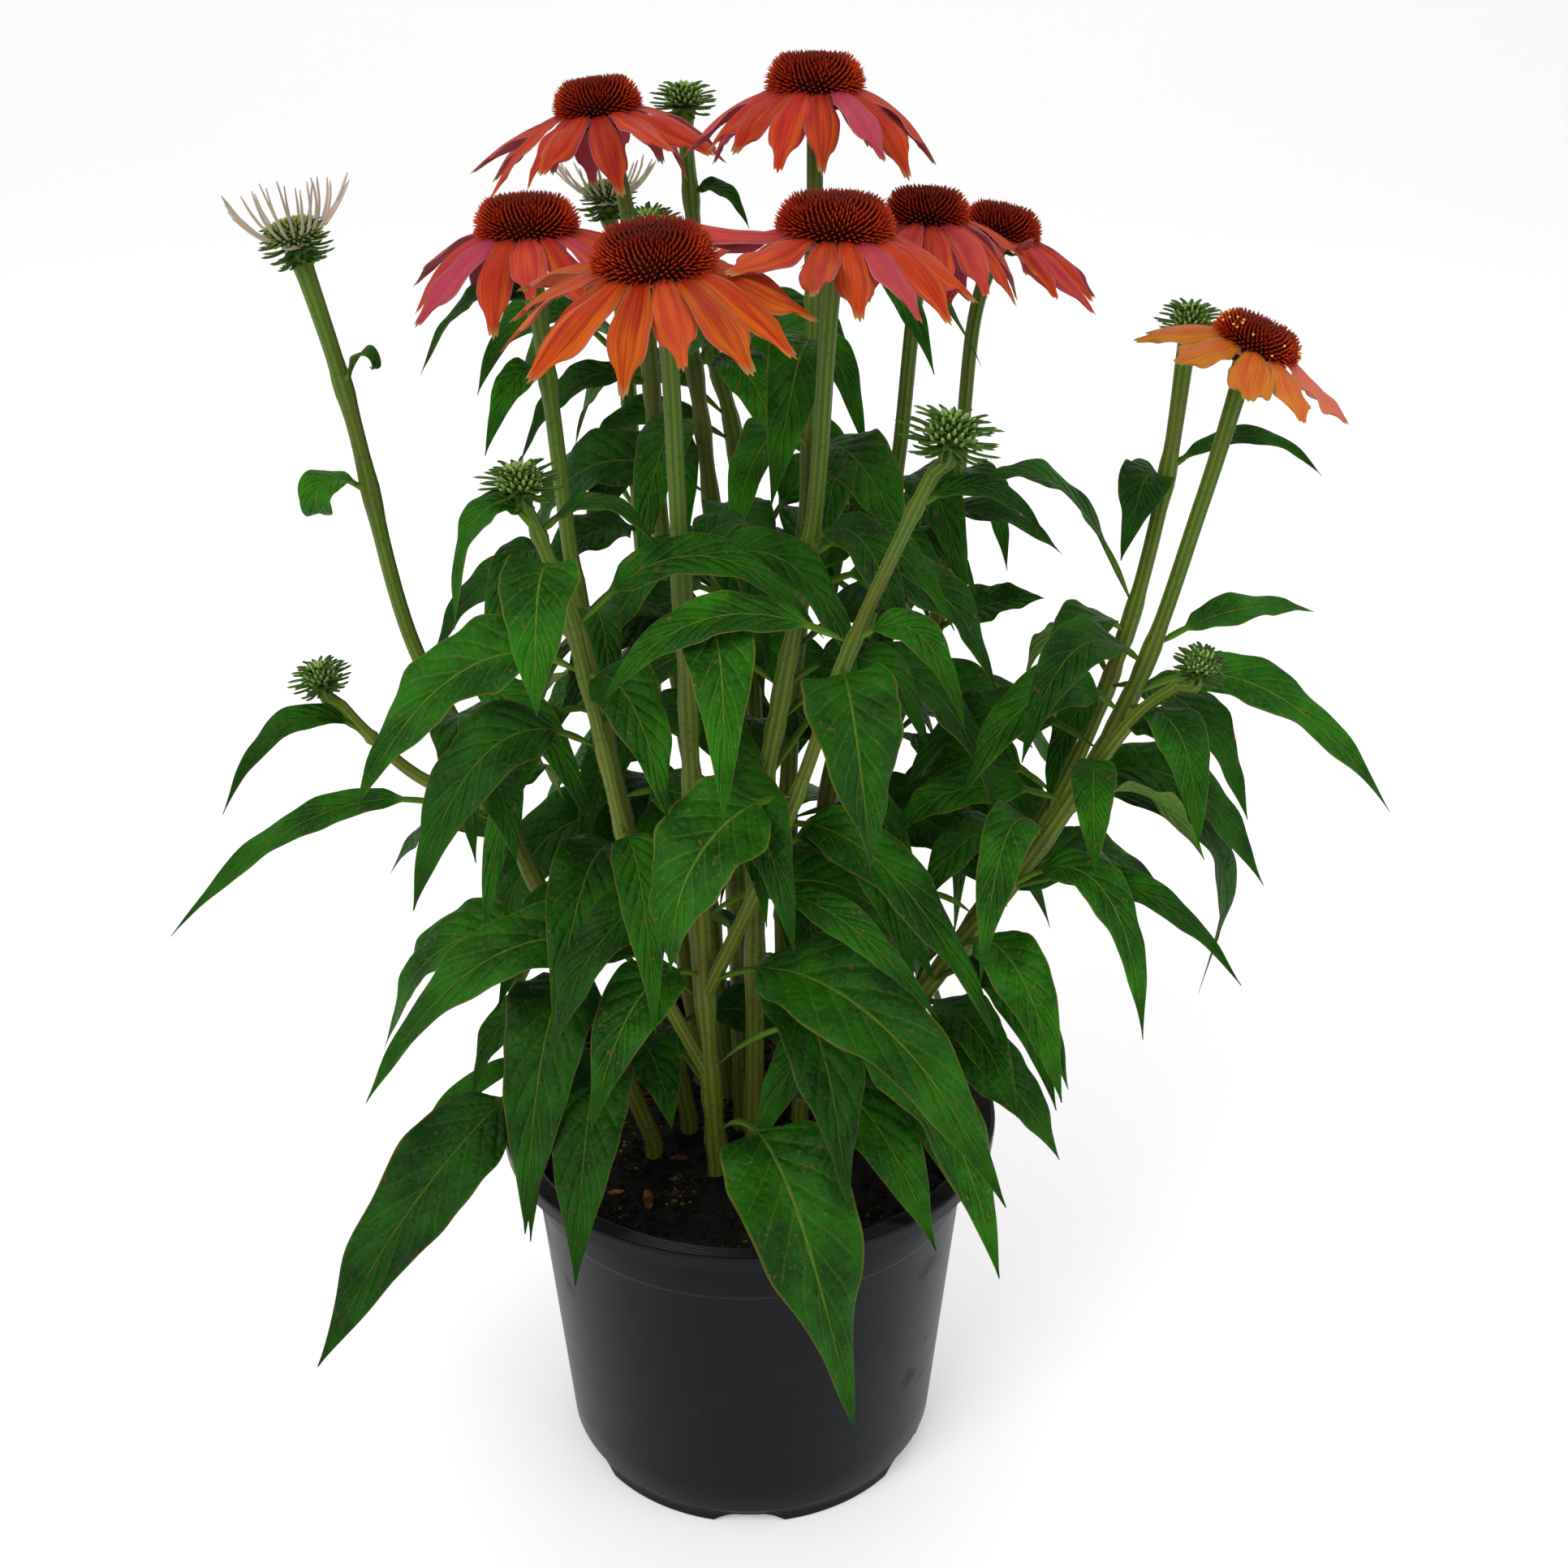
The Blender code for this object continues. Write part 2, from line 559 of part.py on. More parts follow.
class Clearance:
    """What already stands in the garden, by node, so that nothing new crosses another node."""

    def __init__(self):
        self.standing = []

    def add(self, node, shell):
        self.standing.append((node, BVHTree.FromPolygons(*shell), bounds(shell[0])))

    def is_clear(self, node, shell):
        box = bounds(shell[0])
        tree = None
        for other, other_tree, other_box in self.standing:
            if other == node or apart(box, other_box):
                continue
            tree = tree or BVHTree.FromPolygons(*shell)
            if tree.overlap(other_tree):
                return False
        return True


def bounds(points):
    lows = tuple(min(p[k] for p in points) for k in range(3))
    highs = tuple(max(p[k] for p in points) for k in range(3))
    return lows, highs


def apart(box, other):
    return any(box[0][k] > other[1][k] or other[0][k] > box[1][k] for k in range(3))


def head_guard(stem_name, radius, height):
    """Space that a head takes up, from just under its bracts to its top."""
    foot, axis = stem_top(stem_name)
    return tube([foot - 0.004 * axis, foot + height * axis], [radius, radius], 8)


def rim_guard():
    """Space that the pot's wall and lip take up, as a closed ring."""
    inner = SHOULDER_RADIUS - 2 * WALL
    outer = RIM_RADIUS + 0.001
    corners = ((inner, 0), (outer, 0), (outer, RIM_HEIGHT + 0.001), (inner, RIM_HEIGHT + 0.001))
    sides = 36
    vertices = []
    for k in range(sides):
        direction = level(360 * k / sides)
        vertices += [direction * radius + Vector((0, 0, z)) for radius, z in corners]
    faces = []
    for k in range(sides):
        for j in range(4):
            a = 4 * k + j
            b = 4 * k + (j + 1) % 4
            c = 4 * ((k + 1) % sides)
            faces += [(a, b, c + (j + 1) % 4), (a, c + (j + 1) % 4, c + j)]
    return vertices, faces


def soil_guard():
    """Thin slab over the soil, which no leaf dips into."""
    return tube([Vector((0, 0.0001 * k, SOIL_TOP + 0.002 * k)) for k in range(2)], [0.085, 0.085], 24)


def filling_leaves():
    """Leaves that spiral up each stem on all its sides, shorter towards the top."""
    draw = random.Random("filling leaves")
    leaves = []
    for order, (name, stem) in enumerate(STEMS.items()):
        if stem.parent:
            continue
        for step, height in enumerate(FILL_HEIGHTS):
            azimuth = round(GOLDEN_ANGLE * (step + STEM_TURN * order)) % 360
            reach = (FILL_LONG + (FILL_SHORT - FILL_LONG) * height) * draw.uniform(0.85, 1.15)
            roll = draw.uniform(-FILL_ROLL, FILL_ROLL) if azimuth < 180 else None
            leaves.append(Leaf(name, height, azimuth, reach, FILL_RISE_SHARE * reach,
                               -FILL_FALL_SHARE * reach, FILL_WIDTH_SHARE * reach,
                               0.32 - 0.3 * height, roll=roll))
    return leaves


def choose_leaf(clearance, blades, leaf):
    """The leaf, turned or lifted a little where it would cross another node or blade, or None."""
    node = owner(leaf.stem)
    for lift in LIFTS:
        for turn in TURNS:
            moved = replace(leaf, azimuth=leaf.azimuth + turn, rise=leaf.rise + lift,
                            drop=leaf.drop + lift)
            rows = leaf_rows(moved, blade_steps(moved))
            shell = ribbon(rows, CLEARANCE)
            blade = ribbon(rows[1:], CLEARANCE / 2)
            if clearance.is_clear(node, shell) and blades.is_clear("", blade):
                clearance.add(node, shell)
                blades.add("blade", blade)
                return moved
    return None


def choose_petals(clearance, bloom):
    """The droop of each petal, steeper where it would cross a neighbouring head or stem."""
    node = "petals_" + bloom.stem
    droops = []
    for index in range(bloom.petal_count):
        for extra in [crowding(bloom, index) + change for change in PETAL_DROOPS]:
            shell = petal_guard(bloom, index, extra)
            if clearance.is_clear(node, shell):
                clearance.add(node, shell)
                droops.append(extra)
                break
        else:
            droops.append(None)
    return droops


def plan_garden():
    """Settle every leaf and petal before anything is built."""
    clearance = Clearance()
    blades = Clearance()
    clearance.add("pot", rim_guard())
    clearance.add("soil_top", soil_guard())
    for name in STEMS:
        points, radii = stem_line(name)
        top = len(points) - 1
        points = [p for p in points if p.z > SOIL_TOP]
        radii = [r + CLEARANCE / 4 for r in radii[top + 1 - len(points):]]
        clearance.add(owner(name), tube(points, radii))
        blades.add("stem", tube(points, [STEM_MID_RADIUS / 2] * len(points)))
    for bloom in BLOOMS:
        foot, axis = head_place(bloom.stem)
        top = foot + (bloom.cone_height + 0.006) * axis
        clearance.add("petals_" + bloom.stem, tube([foot, top], [bloom.cone_radius] * 2, 8))
    for bud in BUDS:
        clearance.add(owner(bud.stem), head_guard(bud.stem, bud.bract_reach, bud.height))
    petals = {bloom.stem: choose_petals(clearance, bloom) for bloom in BLOOMS}
    wanted = FRONT_LEAVES + tuple(filling_leaves())
    leaves = [choose_leaf(clearance, blades, leaf) for leaf in wanted]
    return petals, [leaf for leaf in leaves if leaf is not None]


def clear_scene():
    for item in list(bpy.data.objects):
        bpy.data.objects.remove(item, do_unlink=True)


def new_collection(name):
    collection = bpy.data.collections.new(name)
    bpy.context.scene.collection.children.link(collection)
    return collection


def new_material(name, colour, roughness):
    material = bpy.data.materials.new(name)
    material.use_nodes = True
    shader = material.node_tree.nodes["Principled BSDF"]
    shader.inputs["Base Color"].default_value = (*colour, 1)
    shader.inputs["Roughness"].default_value = roughness
    shader.inputs["Metallic"].default_value = 0
    return material


def add_object(name, mesh, collection):
    item = bpy.data.objects.new(name, mesh)
    collection.objects.link(item)
    return item


def add_shell(name, shell, collection):
    """Object from a closed shell, with its faces turned outwards."""
    mesh = bpy.data.meshes.new(name)
    mesh.from_pydata([tuple(v) for v in shell[0]], [], shell[1])
    tidy_mesh(mesh)
    return add_object(name, mesh, collection)


def tidy_mesh(mesh, weld=0.0):
    """Weld, split into triangles and turn the faces outwards."""
    work = bmesh.new()
    work.from_mesh(mesh)
    if weld:
        bmesh.ops.remove_doubles(work, verts=work.verts, dist=weld)
    bmesh.ops.triangulate(work, faces=work.faces)
    bmesh.ops.recalc_face_normals(work, faces=work.faces)
    work.to_mesh(mesh)
    work.free()


def evaluated_mesh(item):
    bpy.context.view_layer.update()
    graph = bpy.context.evaluated_depsgraph_get()
    return bpy.data.meshes.new_from_object(item.evaluated_get(graph))


def add_tube(name, points, radii, collection):
    """Stem from a bevelled curve with filled caps, made a mesh so that it can be joined."""
    curve = bpy.data.curves.new(name, "CURVE")
    curve.dimensions = "3D"
    curve.bevel_depth = 1
    curve.bevel_resolution = 1
    curve.use_fill_caps = True
    spline = curve.splines.new("POLY")
    spline.points.add(len(points) - 1)
    for spot, point, radius in zip(spline.points, points, radii):
        spot.co = (*point, 1)
        spot.radius = radius
    guide = add_object(name + "_curve", curve, collection)
    mesh = evaluated_mesh(guide)
    bpy.data.objects.remove(guide, do_unlink=True)
    tidy_mesh(mesh, weld=0.00001)
    return add_object(name, mesh, collection)


def join_pieces(name, pieces, material, collection):
    """Join pieces into one solid by one Boolean union on their collection."""
    base = pieces[0]
    base.name = name
    if len(pieces) > 1:
        group = new_collection(name + "_pieces")
        for piece in pieces[1:]:
            collection.objects.unlink(piece)
            group.objects.link(piece)
        union = base.modifiers.new("join", "BOOLEAN")
        union.operation = "UNION"
        union.operand_type = "COLLECTION"
        union.collection = group
        mesh = evaluated_mesh(base)
        base.modifiers.clear()
        base.data = mesh
        for piece in pieces[1:]:
            bpy.data.objects.remove(piece, do_unlink=True)
        bpy.data.collections.remove(group)
    finish(base, material)


def finish(item, material):
    """Give an object its material and smooth shading."""
    item.data.materials.clear()
    item.data.materials.append(material)
    item.data.shade_smooth()
    item.data.set_sharp_from_angle(angle=math.radians(35))


def add_bracts(name, foot, axis, reach, fall, count, collection):
    """Star of pointed green bracts under a head: a disc with every other rim point pulled in."""
    work = bmesh.new()
    bmesh.ops.create_cone(work, cap_ends=True, cap_tris=True, segments=2 * count, radius1=reach,
                          radius2=reach, depth=BRACT_THICKNESS)
    for vertex in work.verts:
        spot = vertex.co
        radius = math.hypot(spot.x, spot.y)
        if radius < reach / 2:
            continue
        step = round(math.atan2(spot.y, spot.x) / (math.pi / count))
        share = BRACT_NOTCH_SHARE if step % 2 else 1
        spot.x *= share
        spot.y *= share
        thinning = BRACT_NOTCH_THINNING if step % 2 else BRACT_TIP_THINNING
        spot.z = spot.z * thinning - fall * share ** 2
    place = axis_frame(foot - axis * BRACT_THICKNESS / 2, axis)
    bmesh.ops.transform(work, matrix=place, verts=work.verts)
    mesh = bpy.data.meshes.new(name)
    work.to_mesh(mesh)
    work.free()
    tidy_mesh(mesh)
    return add_object(name, mesh, collection)


def add_dome(name, foot, axis, radius, height, spine, sides, rings, collection):
    """Half ball on a flat base, with staggered spines raised from its surface."""
    work = bmesh.new()
    bmesh.ops.create_uvsphere(work, u_segments=sides, v_segments=2 * rings, radius=1)
    bmesh.ops.bisect_plane(work, geom=work.verts[:] + work.edges[:] + work.faces[:],
                           plane_co=(0, 0, 0), plane_no=(0, 0, 1), clear_inner=True)
    bmesh.ops.holes_fill(work, edges=[e for e in work.edges if e.is_boundary], sides=0)
    for vertex in work.verts:
        unit = vertex.co.normalized()
        ring = round(math.asin(max(-1, min(1, unit.z))) / (math.pi / 2 / rings))
        step = round(math.atan2(unit.y, unit.x) / (2 * math.pi / sides))
        raised = spine if (ring + step) % 2 and 0 < ring < rings else 0
        if ring == rings:
            raised = spine / 2
        body = Vector((unit.x * (radius - spine), unit.y * (radius - spine), unit.z * height))
        lift = Vector((unit.x * SPINE_SPREAD, unit.y * SPINE_SPREAD, unit.z + SPINE_RISE))
        vertex.co = body + lift * raised
    bmesh.ops.transform(work, matrix=axis_frame(foot, axis), verts=work.verts)
    mesh = bpy.data.meshes.new(name)
    work.to_mesh(mesh)
    work.free()
    tidy_mesh(mesh)
    return add_object(name, mesh, collection)


def add_turned(name, profile, sides, collection):
    """Turned shape from a profile of (radius, height) points, made by a Screw modifier."""
    mesh = bpy.data.meshes.new(name)
    points = [(radius, 0, height) for radius, height in profile]
    mesh.from_pydata(points, [(i, i + 1) for i in range(len(points) - 1)], [])
    item = add_object(name, mesh, collection)
    screw = item.modifiers.new("turn", "SCREW")
    screw.steps = sides
    screw.render_steps = sides
    screw.use_merge_vertices = True
    screw.merge_threshold = 0.00001
    return item


def wall_inside(height):
    """Inner radius of the pot's wall at a height."""
    share = (height - FOOT_HEIGHT) / (SHOULDER_HEIGHT - FOOT_HEIGHT)
    outer = WALL_FOOT_RADIUS + share * (WALL_TOP_RADIUS - WALL_FOOT_RADIUS)
    return outer - WALL


def pot_profile():
    """From the middle of the floor up the inside, over the lip and down the outside."""
    lip_bottom = RIM_HEIGHT - LIP_DEPTH
    return (
        (0, FLOOR),
        (FOOT_RADIUS - WALL, FLOOR),
        (wall_inside(FOOT_HEIGHT), FOOT_HEIGHT + WALL),
        (wall_inside(SHOULDER_HEIGHT), SHOULDER_HEIGHT),
        (SHOULDER_RADIUS - WALL / 2, lip_bottom),
        (RIM_RADIUS - 0.0030, RIM_HEIGHT),
        (RIM_RADIUS - 0.0008, RIM_HEIGHT),
        (RIM_RADIUS, RIM_HEIGHT - 0.0010),
        (RIM_RADIUS - 0.0005, lip_bottom),
        (RIM_RADIUS - 0.0020, lip_bottom),
        (SHOULDER_RADIUS + 0.0010, lip_bottom - 0.0015),
        (SHOULDER_RADIUS, SHOULDER_HEIGHT + 0.0005),
        (WALL_TOP_RADIUS, SHOULDER_HEIGHT - 0.0005),
        (WALL_FOOT_RADIUS, FOOT_HEIGHT),
        (FOOT_RADIUS, FOOT_HEIGHT - 0.0020),
        (FOOT_RADIUS, 0),
        (0, 0),
    )


def cut(item, cutters, name, cutter_collection):
    """Take cutter objects out of an item with one Boolean on their collection."""
    group = bpy.data.collections.new(name)
    cutter_collection.children.link(group)
    for cutter in cutters:
        for holder in cutter.users_collection:
            holder.objects.unlink(cutter)
        group.objects.link(cutter)
        cutter.hide_render = True
        cutter.display_type = "WIRE"
    modifier = item.modifiers.new(name, "BOOLEAN")
    modifier.operation = "DIFFERENCE"
    modifier.operand_type = "COLLECTION"
    modifier.collection = group


def build_pot(collection, cutter_collection):
    pot = add_turned("pot", pot_profile(), POT_SIDES, collection)
    drains = []
    for k in range(DRAIN_COUNT):
        work = bmesh.new()
        size = Matrix.Diagonal((DRAIN_DEPTH, DRAIN_WIDTH, 2 * DRAIN_HEIGHT, 1))
        place = Matrix.Rotation(math.radians(270 + 360 * k / DRAIN_COUNT), 4, "Z")
        out = Matrix.Translation((FOOT_RADIUS - DRAIN_DEPTH / 4, 0, 0))
        bmesh.ops.create_cube(work, size=1, matrix=place @ out @ size)
        mesh = bpy.data.meshes.new("drain")
        work.to_mesh(mesh)
        work.free()
        drains.append(add_object(f"drain_cutter_{k}", mesh, collection))
    cut(pot, drains, "drains", cutter_collection)
    pot.data.materials.append(new_material("pot_plastic", POT_CHARCOAL, 0.5))
    pot.data.shade_smooth()
    return pot


def soil_height(x, y):
    """Gentle lumps over the soil, flat at its edge."""
    lumps = math.sin(110 * x + 1.0) * math.cos(95 * y) + 0.6 * math.sin(170 * y + 60 * x)
    return SOIL_LUMP * lumps


def build_soil(collection, cutter_collection):
    flat_share = math.cos(math.pi / POT_SIDES)
    top_radius = wall_inside(SHOULDER_HEIGHT) * flat_share - GAP
    bend_radius = wall_inside(FOOT_HEIGHT) * flat_share - 2 * GAP
    floor_radius = (FOOT_RADIUS - WALL) * flat_share - 2 * GAP
    profile = (
        (0, SOIL_TOP),
        (0.030, SOIL_TOP),
        (0.058, SOIL_TOP),
        (top_radius, SOIL_TOP - 0.002),
        (top_radius, SHOULDER_HEIGHT),
        (bend_radius, FOOT_HEIGHT + WALL),
        (floor_radius, FLOOR + GAP),
        (0, FLOOR + GAP),
    )
    soil = add_turned("soil", profile, SOIL_SIDES, collection)
    mesh = evaluated_mesh(soil)
    bpy.data.objects.remove(soil, do_unlink=True)
    tidy_mesh(mesh, weld=0.00001)
    for vertex in mesh.vertices:
        if vertex.co.z > SOIL_TOP - 0.001:
            vertex.co.z += soil_height(vertex.co.x, vertex.co.y)
    soil = add_object("soil", mesh, collection)
    holes = []
    for name, stem in STEMS.items():
        if stem.parent:
            continue
        x, y, _ = stem.route[0]
        radius = (STEM_LOW_RADIUS + GAP) / math.cos(math.pi / HOLE_SIDES)
        work = bmesh.new()
        middle = Matrix.Translation((x, y, SOIL_TOP - HOLE_DEPTH / 2 + 0.005))
        bmesh.ops.create_cone(work, cap_ends=True, segments=HOLE_SIDES, radius1=radius,
                              radius2=radius, depth=HOLE_DEPTH + 0.010, matrix=middle)
        hole = bpy.data.meshes.new("hole")
        work.to_mesh(hole)
        work.free()
        holes.append(add_object("hole_cutter_" + name, hole, collection))
    cut(soil, holes, "stem_holes", cutter_collection)
    soil.data.materials.append(new_material("soil", SOIL_BROWN, 0.95))
    return soil


def build_shoots(leaves, collection):
    """One node for each stem from the soil, with its branches, leaves and bracts."""
    green = new_material("foliage", LEAF_GREEN, 0.6)
    reaches = {bloom.stem: (BLOOM_BRACT_SHARE * bloom.cone_radius, BLOOM_BRACT_FALL, BLOOM_BRACTS)
               for bloom in BLOOMS}
    reaches.update({bud.stem: (bud.bract_reach, BUD_BRACT_FALL, BUD_BRACTS) for bud in BUDS})
    for root_name, root in STEMS.items():
        if root.parent:
            continue
        node = owner(root_name)
        pieces = []
        for name in STEMS:
            if owner(name) != node:
                continue
            pieces.append(add_tube(node + "_" + name, *stem_line(name), collection))
            foot, axis = head_place(name)
            reach, fall, count = reaches[name]
            pieces.append(add_bracts(name + "_bracts", foot, axis, reach, fall, count, collection))
        for leaf in leaves:
            if owner(leaf.stem) == node:
                shell = ribbon(leaf_rows(leaf, blade_steps(leaf)))
                pieces.append(add_shell(node + "_leaf", shell, collection))
        join_pieces(node, pieces, green, collection)


def add_petal_ring(name, bloom, droops, collection):
    """Disc whose side faces are drawn out, one by one, into petals."""
    work = bmesh.new()
    radius = DISC_SHARE * bloom.cone_radius
    first_corner_right = Matrix.Rotation(math.radians(-90), 4, "Z")
    bmesh.ops.create_cone(work, cap_ends=True, cap_tris=True, segments=bloom.petal_count,
                          radius1=radius, radius2=radius, depth=DISC_THICKNESS,
                          matrix=first_corner_right)
    spacing = 2 * math.pi / bloom.petal_count
    for face in [f for f in work.faces if abs(f.normal.z) < 0.5]:
        middle = face.calc_center_median()
        index = int(math.atan2(middle.y, middle.x) % (2 * math.pi) / spacing)
        if droops[index] is None:
            continue
        rows = petal_rows(bloom, index, droops[index], *petal_steps(bloom))
        across = rows[0][1]
        marks = [(math.copysign(1, (v.co - middle).dot(across)), math.copysign(1, v.co.z))
                 for v in face.verts]
        for centre, side, normal, half, thickness, _ in rows:
            face = bmesh.ops.extrude_discrete_faces(work, faces=[face])["faces"][0]
            for vertex, (sideways, upwards) in zip(face.verts, marks):
                vertex.co = centre + side * half * sideways + normal * thickness / 2 * upwards
    bmesh.ops.transform(work, matrix=ring_frame(bloom), verts=work.verts)
    mesh = bpy.data.meshes.new(name)
    work.to_mesh(mesh)
    work.free()
    tidy_mesh(mesh)
    return add_object(name, mesh, collection)


def build_bloom(bloom, droops, collection):
    """A ring of petals on the stem's top, and the cone on the ring's disc."""
    colour = new_material("petals_" + bloom.stem, bloom.colour, 0.55)
    ring = add_petal_ring("petals_" + bloom.stem, bloom, droops, collection)
    finish(ring, colour)
    foot, axis = head_place(bloom.stem)
    cone_foot = foot + (2 * GAP + DISC_THICKNESS) * axis
    cone = add_dome("cone_" + bloom.stem, cone_foot, axis, bloom.cone_radius, bloom.cone_height,
                    SPINE_LENGTH, CONE_SIDES, CONE_RINGS, collection)
    finish(cone, new_material("cone_" + bloom.stem, CONE_RUST, 0.7))


def build_bud(bud, collection):
    """A small green dome in its ring of bracts."""
    foot, axis = head_place(bud.stem)
    dome = add_dome("bud_" + bud.stem, foot + GAP * axis, axis, bud.radius, bud.height,
                    BUD_SPINE_LENGTH, BUD_SIDES, BUD_RINGS, collection)
    finish(dome, new_material("bud_" + bud.stem, BUD_GREEN, 0.65))


def main():
    clear_scene()
    parts = new_collection(OBJECT_NAME)
    cutters = new_collection("cutters")
    droops, leaves = plan_garden()
    build_pot(parts, cutters)
    build_soil(parts, cutters)
    build_shoots(leaves, parts)
    for bloom in BLOOMS:
        build_bloom(bloom, droops[bloom.stem], parts)
    for bud in BUDS:
        build_bud(bud, parts)


if __name__ == "__main__":
    main()
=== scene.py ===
"""Looks of a coneflower with eight drooping blooms in its round nursery pot.

Metres, +Z up. The origin is the middle of the pot's underside, +X is the plant's right and
-Y its front. Angles are in degrees: an azimuth of 0 points right, 90 to the back and 270 to
the front.
"""

import json
import logging
import math
import random
from collections.abc import Callable, Iterable, Iterator, Sequence
from contextlib import contextmanager
from dataclasses import dataclass, field, replace
from enum import Enum

import bpy
import numpy as np
from mathutils import Matrix, Vector, noise
from mathutils.bvhtree import BVHTree

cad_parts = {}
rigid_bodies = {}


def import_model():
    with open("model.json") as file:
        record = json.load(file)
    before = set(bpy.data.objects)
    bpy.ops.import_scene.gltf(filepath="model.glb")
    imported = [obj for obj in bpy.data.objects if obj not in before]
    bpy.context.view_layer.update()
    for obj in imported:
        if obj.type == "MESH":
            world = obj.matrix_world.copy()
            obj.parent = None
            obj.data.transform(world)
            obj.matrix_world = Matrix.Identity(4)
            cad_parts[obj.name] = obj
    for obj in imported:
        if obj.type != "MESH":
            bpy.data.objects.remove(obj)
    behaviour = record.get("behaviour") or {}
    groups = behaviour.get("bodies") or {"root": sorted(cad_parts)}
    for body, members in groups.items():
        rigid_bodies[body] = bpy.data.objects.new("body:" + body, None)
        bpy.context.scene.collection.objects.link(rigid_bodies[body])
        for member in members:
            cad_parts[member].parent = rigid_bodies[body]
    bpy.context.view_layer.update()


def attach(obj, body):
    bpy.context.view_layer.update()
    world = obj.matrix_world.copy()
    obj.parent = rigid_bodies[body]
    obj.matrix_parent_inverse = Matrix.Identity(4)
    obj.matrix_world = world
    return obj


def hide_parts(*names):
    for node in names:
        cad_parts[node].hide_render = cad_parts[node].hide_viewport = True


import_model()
LOG = logging.getLogger("coneflower")
UP = Vector((0, 0, 1))

# Pot and soil
GAP = 0.0003
RIM_RADIUS = 0.0955
RIM_HEIGHT = 0.146
LIP_DEPTH = 0.007
SHOULDER_RADIUS = 0.0848
SHOULDER_HEIGHT = 0.119
WALL_TOP_RADIUS = 0.0836
WALL_FOOT_RADIUS = 0.0736
FOOT_RADIUS = 0.0715
FOOT_HEIGHT = 0.0075
WALL = 0.0015
FLOOR = 0.002
DRAIN_COUNT = 6
DRAIN_WIDTH = 0.020
DRAIN_HEIGHT = 0.0045
DRAIN_DEPTH = 0.012
SOIL_TOP = 0.129
HOLE_DEPTH = 0.028

# Stems
STEM_FOOT = SOIL_TOP + 0.006
STEM_LOW_RADIUS = 0.0034
STEM_MID_RADIUS = 0.0027
STEM_TOP_RADIUS = 0.0034
BRANCH_SHARE = 0.8
STEM_PIECES = 1.6
NECK_LENGTH = 0.006

# Heads, measured up the head's own axis from the top of its stem
BRACT_THICKNESS = 0.0015
DISC_THICKNESS = 0.0022
DISC_SHARE = 0.55
PETAL_THICKNESS = 0.0007
PETAL_START = -4
PETAL_STEPS = 12
PETAL_BEND = 1.35
PETAL_SHARES = (0.34, 0.72, 1)
PETAL_WIDTHS = (0.72, 1.0, 0.6)
YOUNG_SHARES = (0.25, 0.6, 1)
YOUNG_WIDTHS = (0.8, 1.0, 0.4)
BLOOM_BRACT_SHARE = 0.62
YOUNG_BRACT_REACH = 0.0122
BLOOM_RINGS = ((1.0, -22), (0.85, -48))
YOUNG_RINGS = ((0.85, -72), (1.0, -52), (1.1, -30), (1.05, -12), (0.98, 8), (0.92, 24))
BUD_RINGS = ((0.80, -40), (1.0, -16), (1.1, 4), (1.05, 22), (0.85, 42), (0.66, 60))

# Leaves
LEAF_THICKNESS = 0.0007
PETIOLE_HALF_WIDTH = 0.0015
PETIOLE_THICKNESS = 0.0018
LEAF_FOLD = 0.22
FACE_FRONT = 36
WIDE_LEAF = 0.019
BLADE_BASE_POWER = 0.55
BLADE_TIP_POWER = 1.1
CLEARANCE = 0.0022
GOLDEN_ANGLE = 137.5
INNER_COUNT = 9
INNER_LOW = 0.05
INNER_HIGH = 0.62
INNER_LONG = 0.085
INNER_SHORT = 0.040
PETIOLE_SHARE = 0.15
CURLED_LEAVES = {("left", 0.77): 185, ("left", 0.85): 130}
STEM_RIDGES = 8
VEIN_SLANT = 2.1
SKIN_MAP = "UVMap"
POLE_RADIUS = 1e-5

# The camera
CAMERA_PLACE = (0.0135, -0.640, 0.575)
CAMERA_PITCH = 24.54
FRAME_WIDTH = 1932
FOCAL_LENGTH_PIXELS = 2400
SENSOR_WIDTH = 36


@dataclass(frozen=True)
class Stem:
    """A stem's centreline runs through its route, or leaves its parent part of the way up."""

    route: tuple[tuple[float, float, float], ...]
    parent: str = ""
    leaves_parent_at: float = 0.0


@dataclass(frozen=True)
class Leaf:
    """A leaf arches from its stem through a middle point, `rise` high, to its tip.

    Its blade rolls to show its upper face to the front, unless the leaf gives its own roll.
    """

    stem: str
    at: float
    azimuth: float
    reach: float
    rise: float
    drop: float
    width: float
    petiole: float = 0.15
    middle: float = 0.5
    sweep: float = 0.0
    roll: float | None = None


class Kind(Enum):
    """How far a bloom is, named for its petals."""

    OPEN = "red"
    YOUNG = "young"
    RIPE = "yellow"


@dataclass(frozen=True)
class Bloom:
    """A flower head: a ring of petals under a spiny cone."""

    stem: str
    cone_radius: float
    cone_height: float
    petal_length: float
    petal_count: int
    petal_width: float
    droop: float
    lean: float = 0.0
    lean_azimuth: float = 0.0
    kind: Kind = Kind.OPEN


@dataclass(frozen=True)
class Bud:
    """A closed head: a small dome in a ring of green bracts."""

    stem: str
    radius: float
    height: float
    bract_reach: float


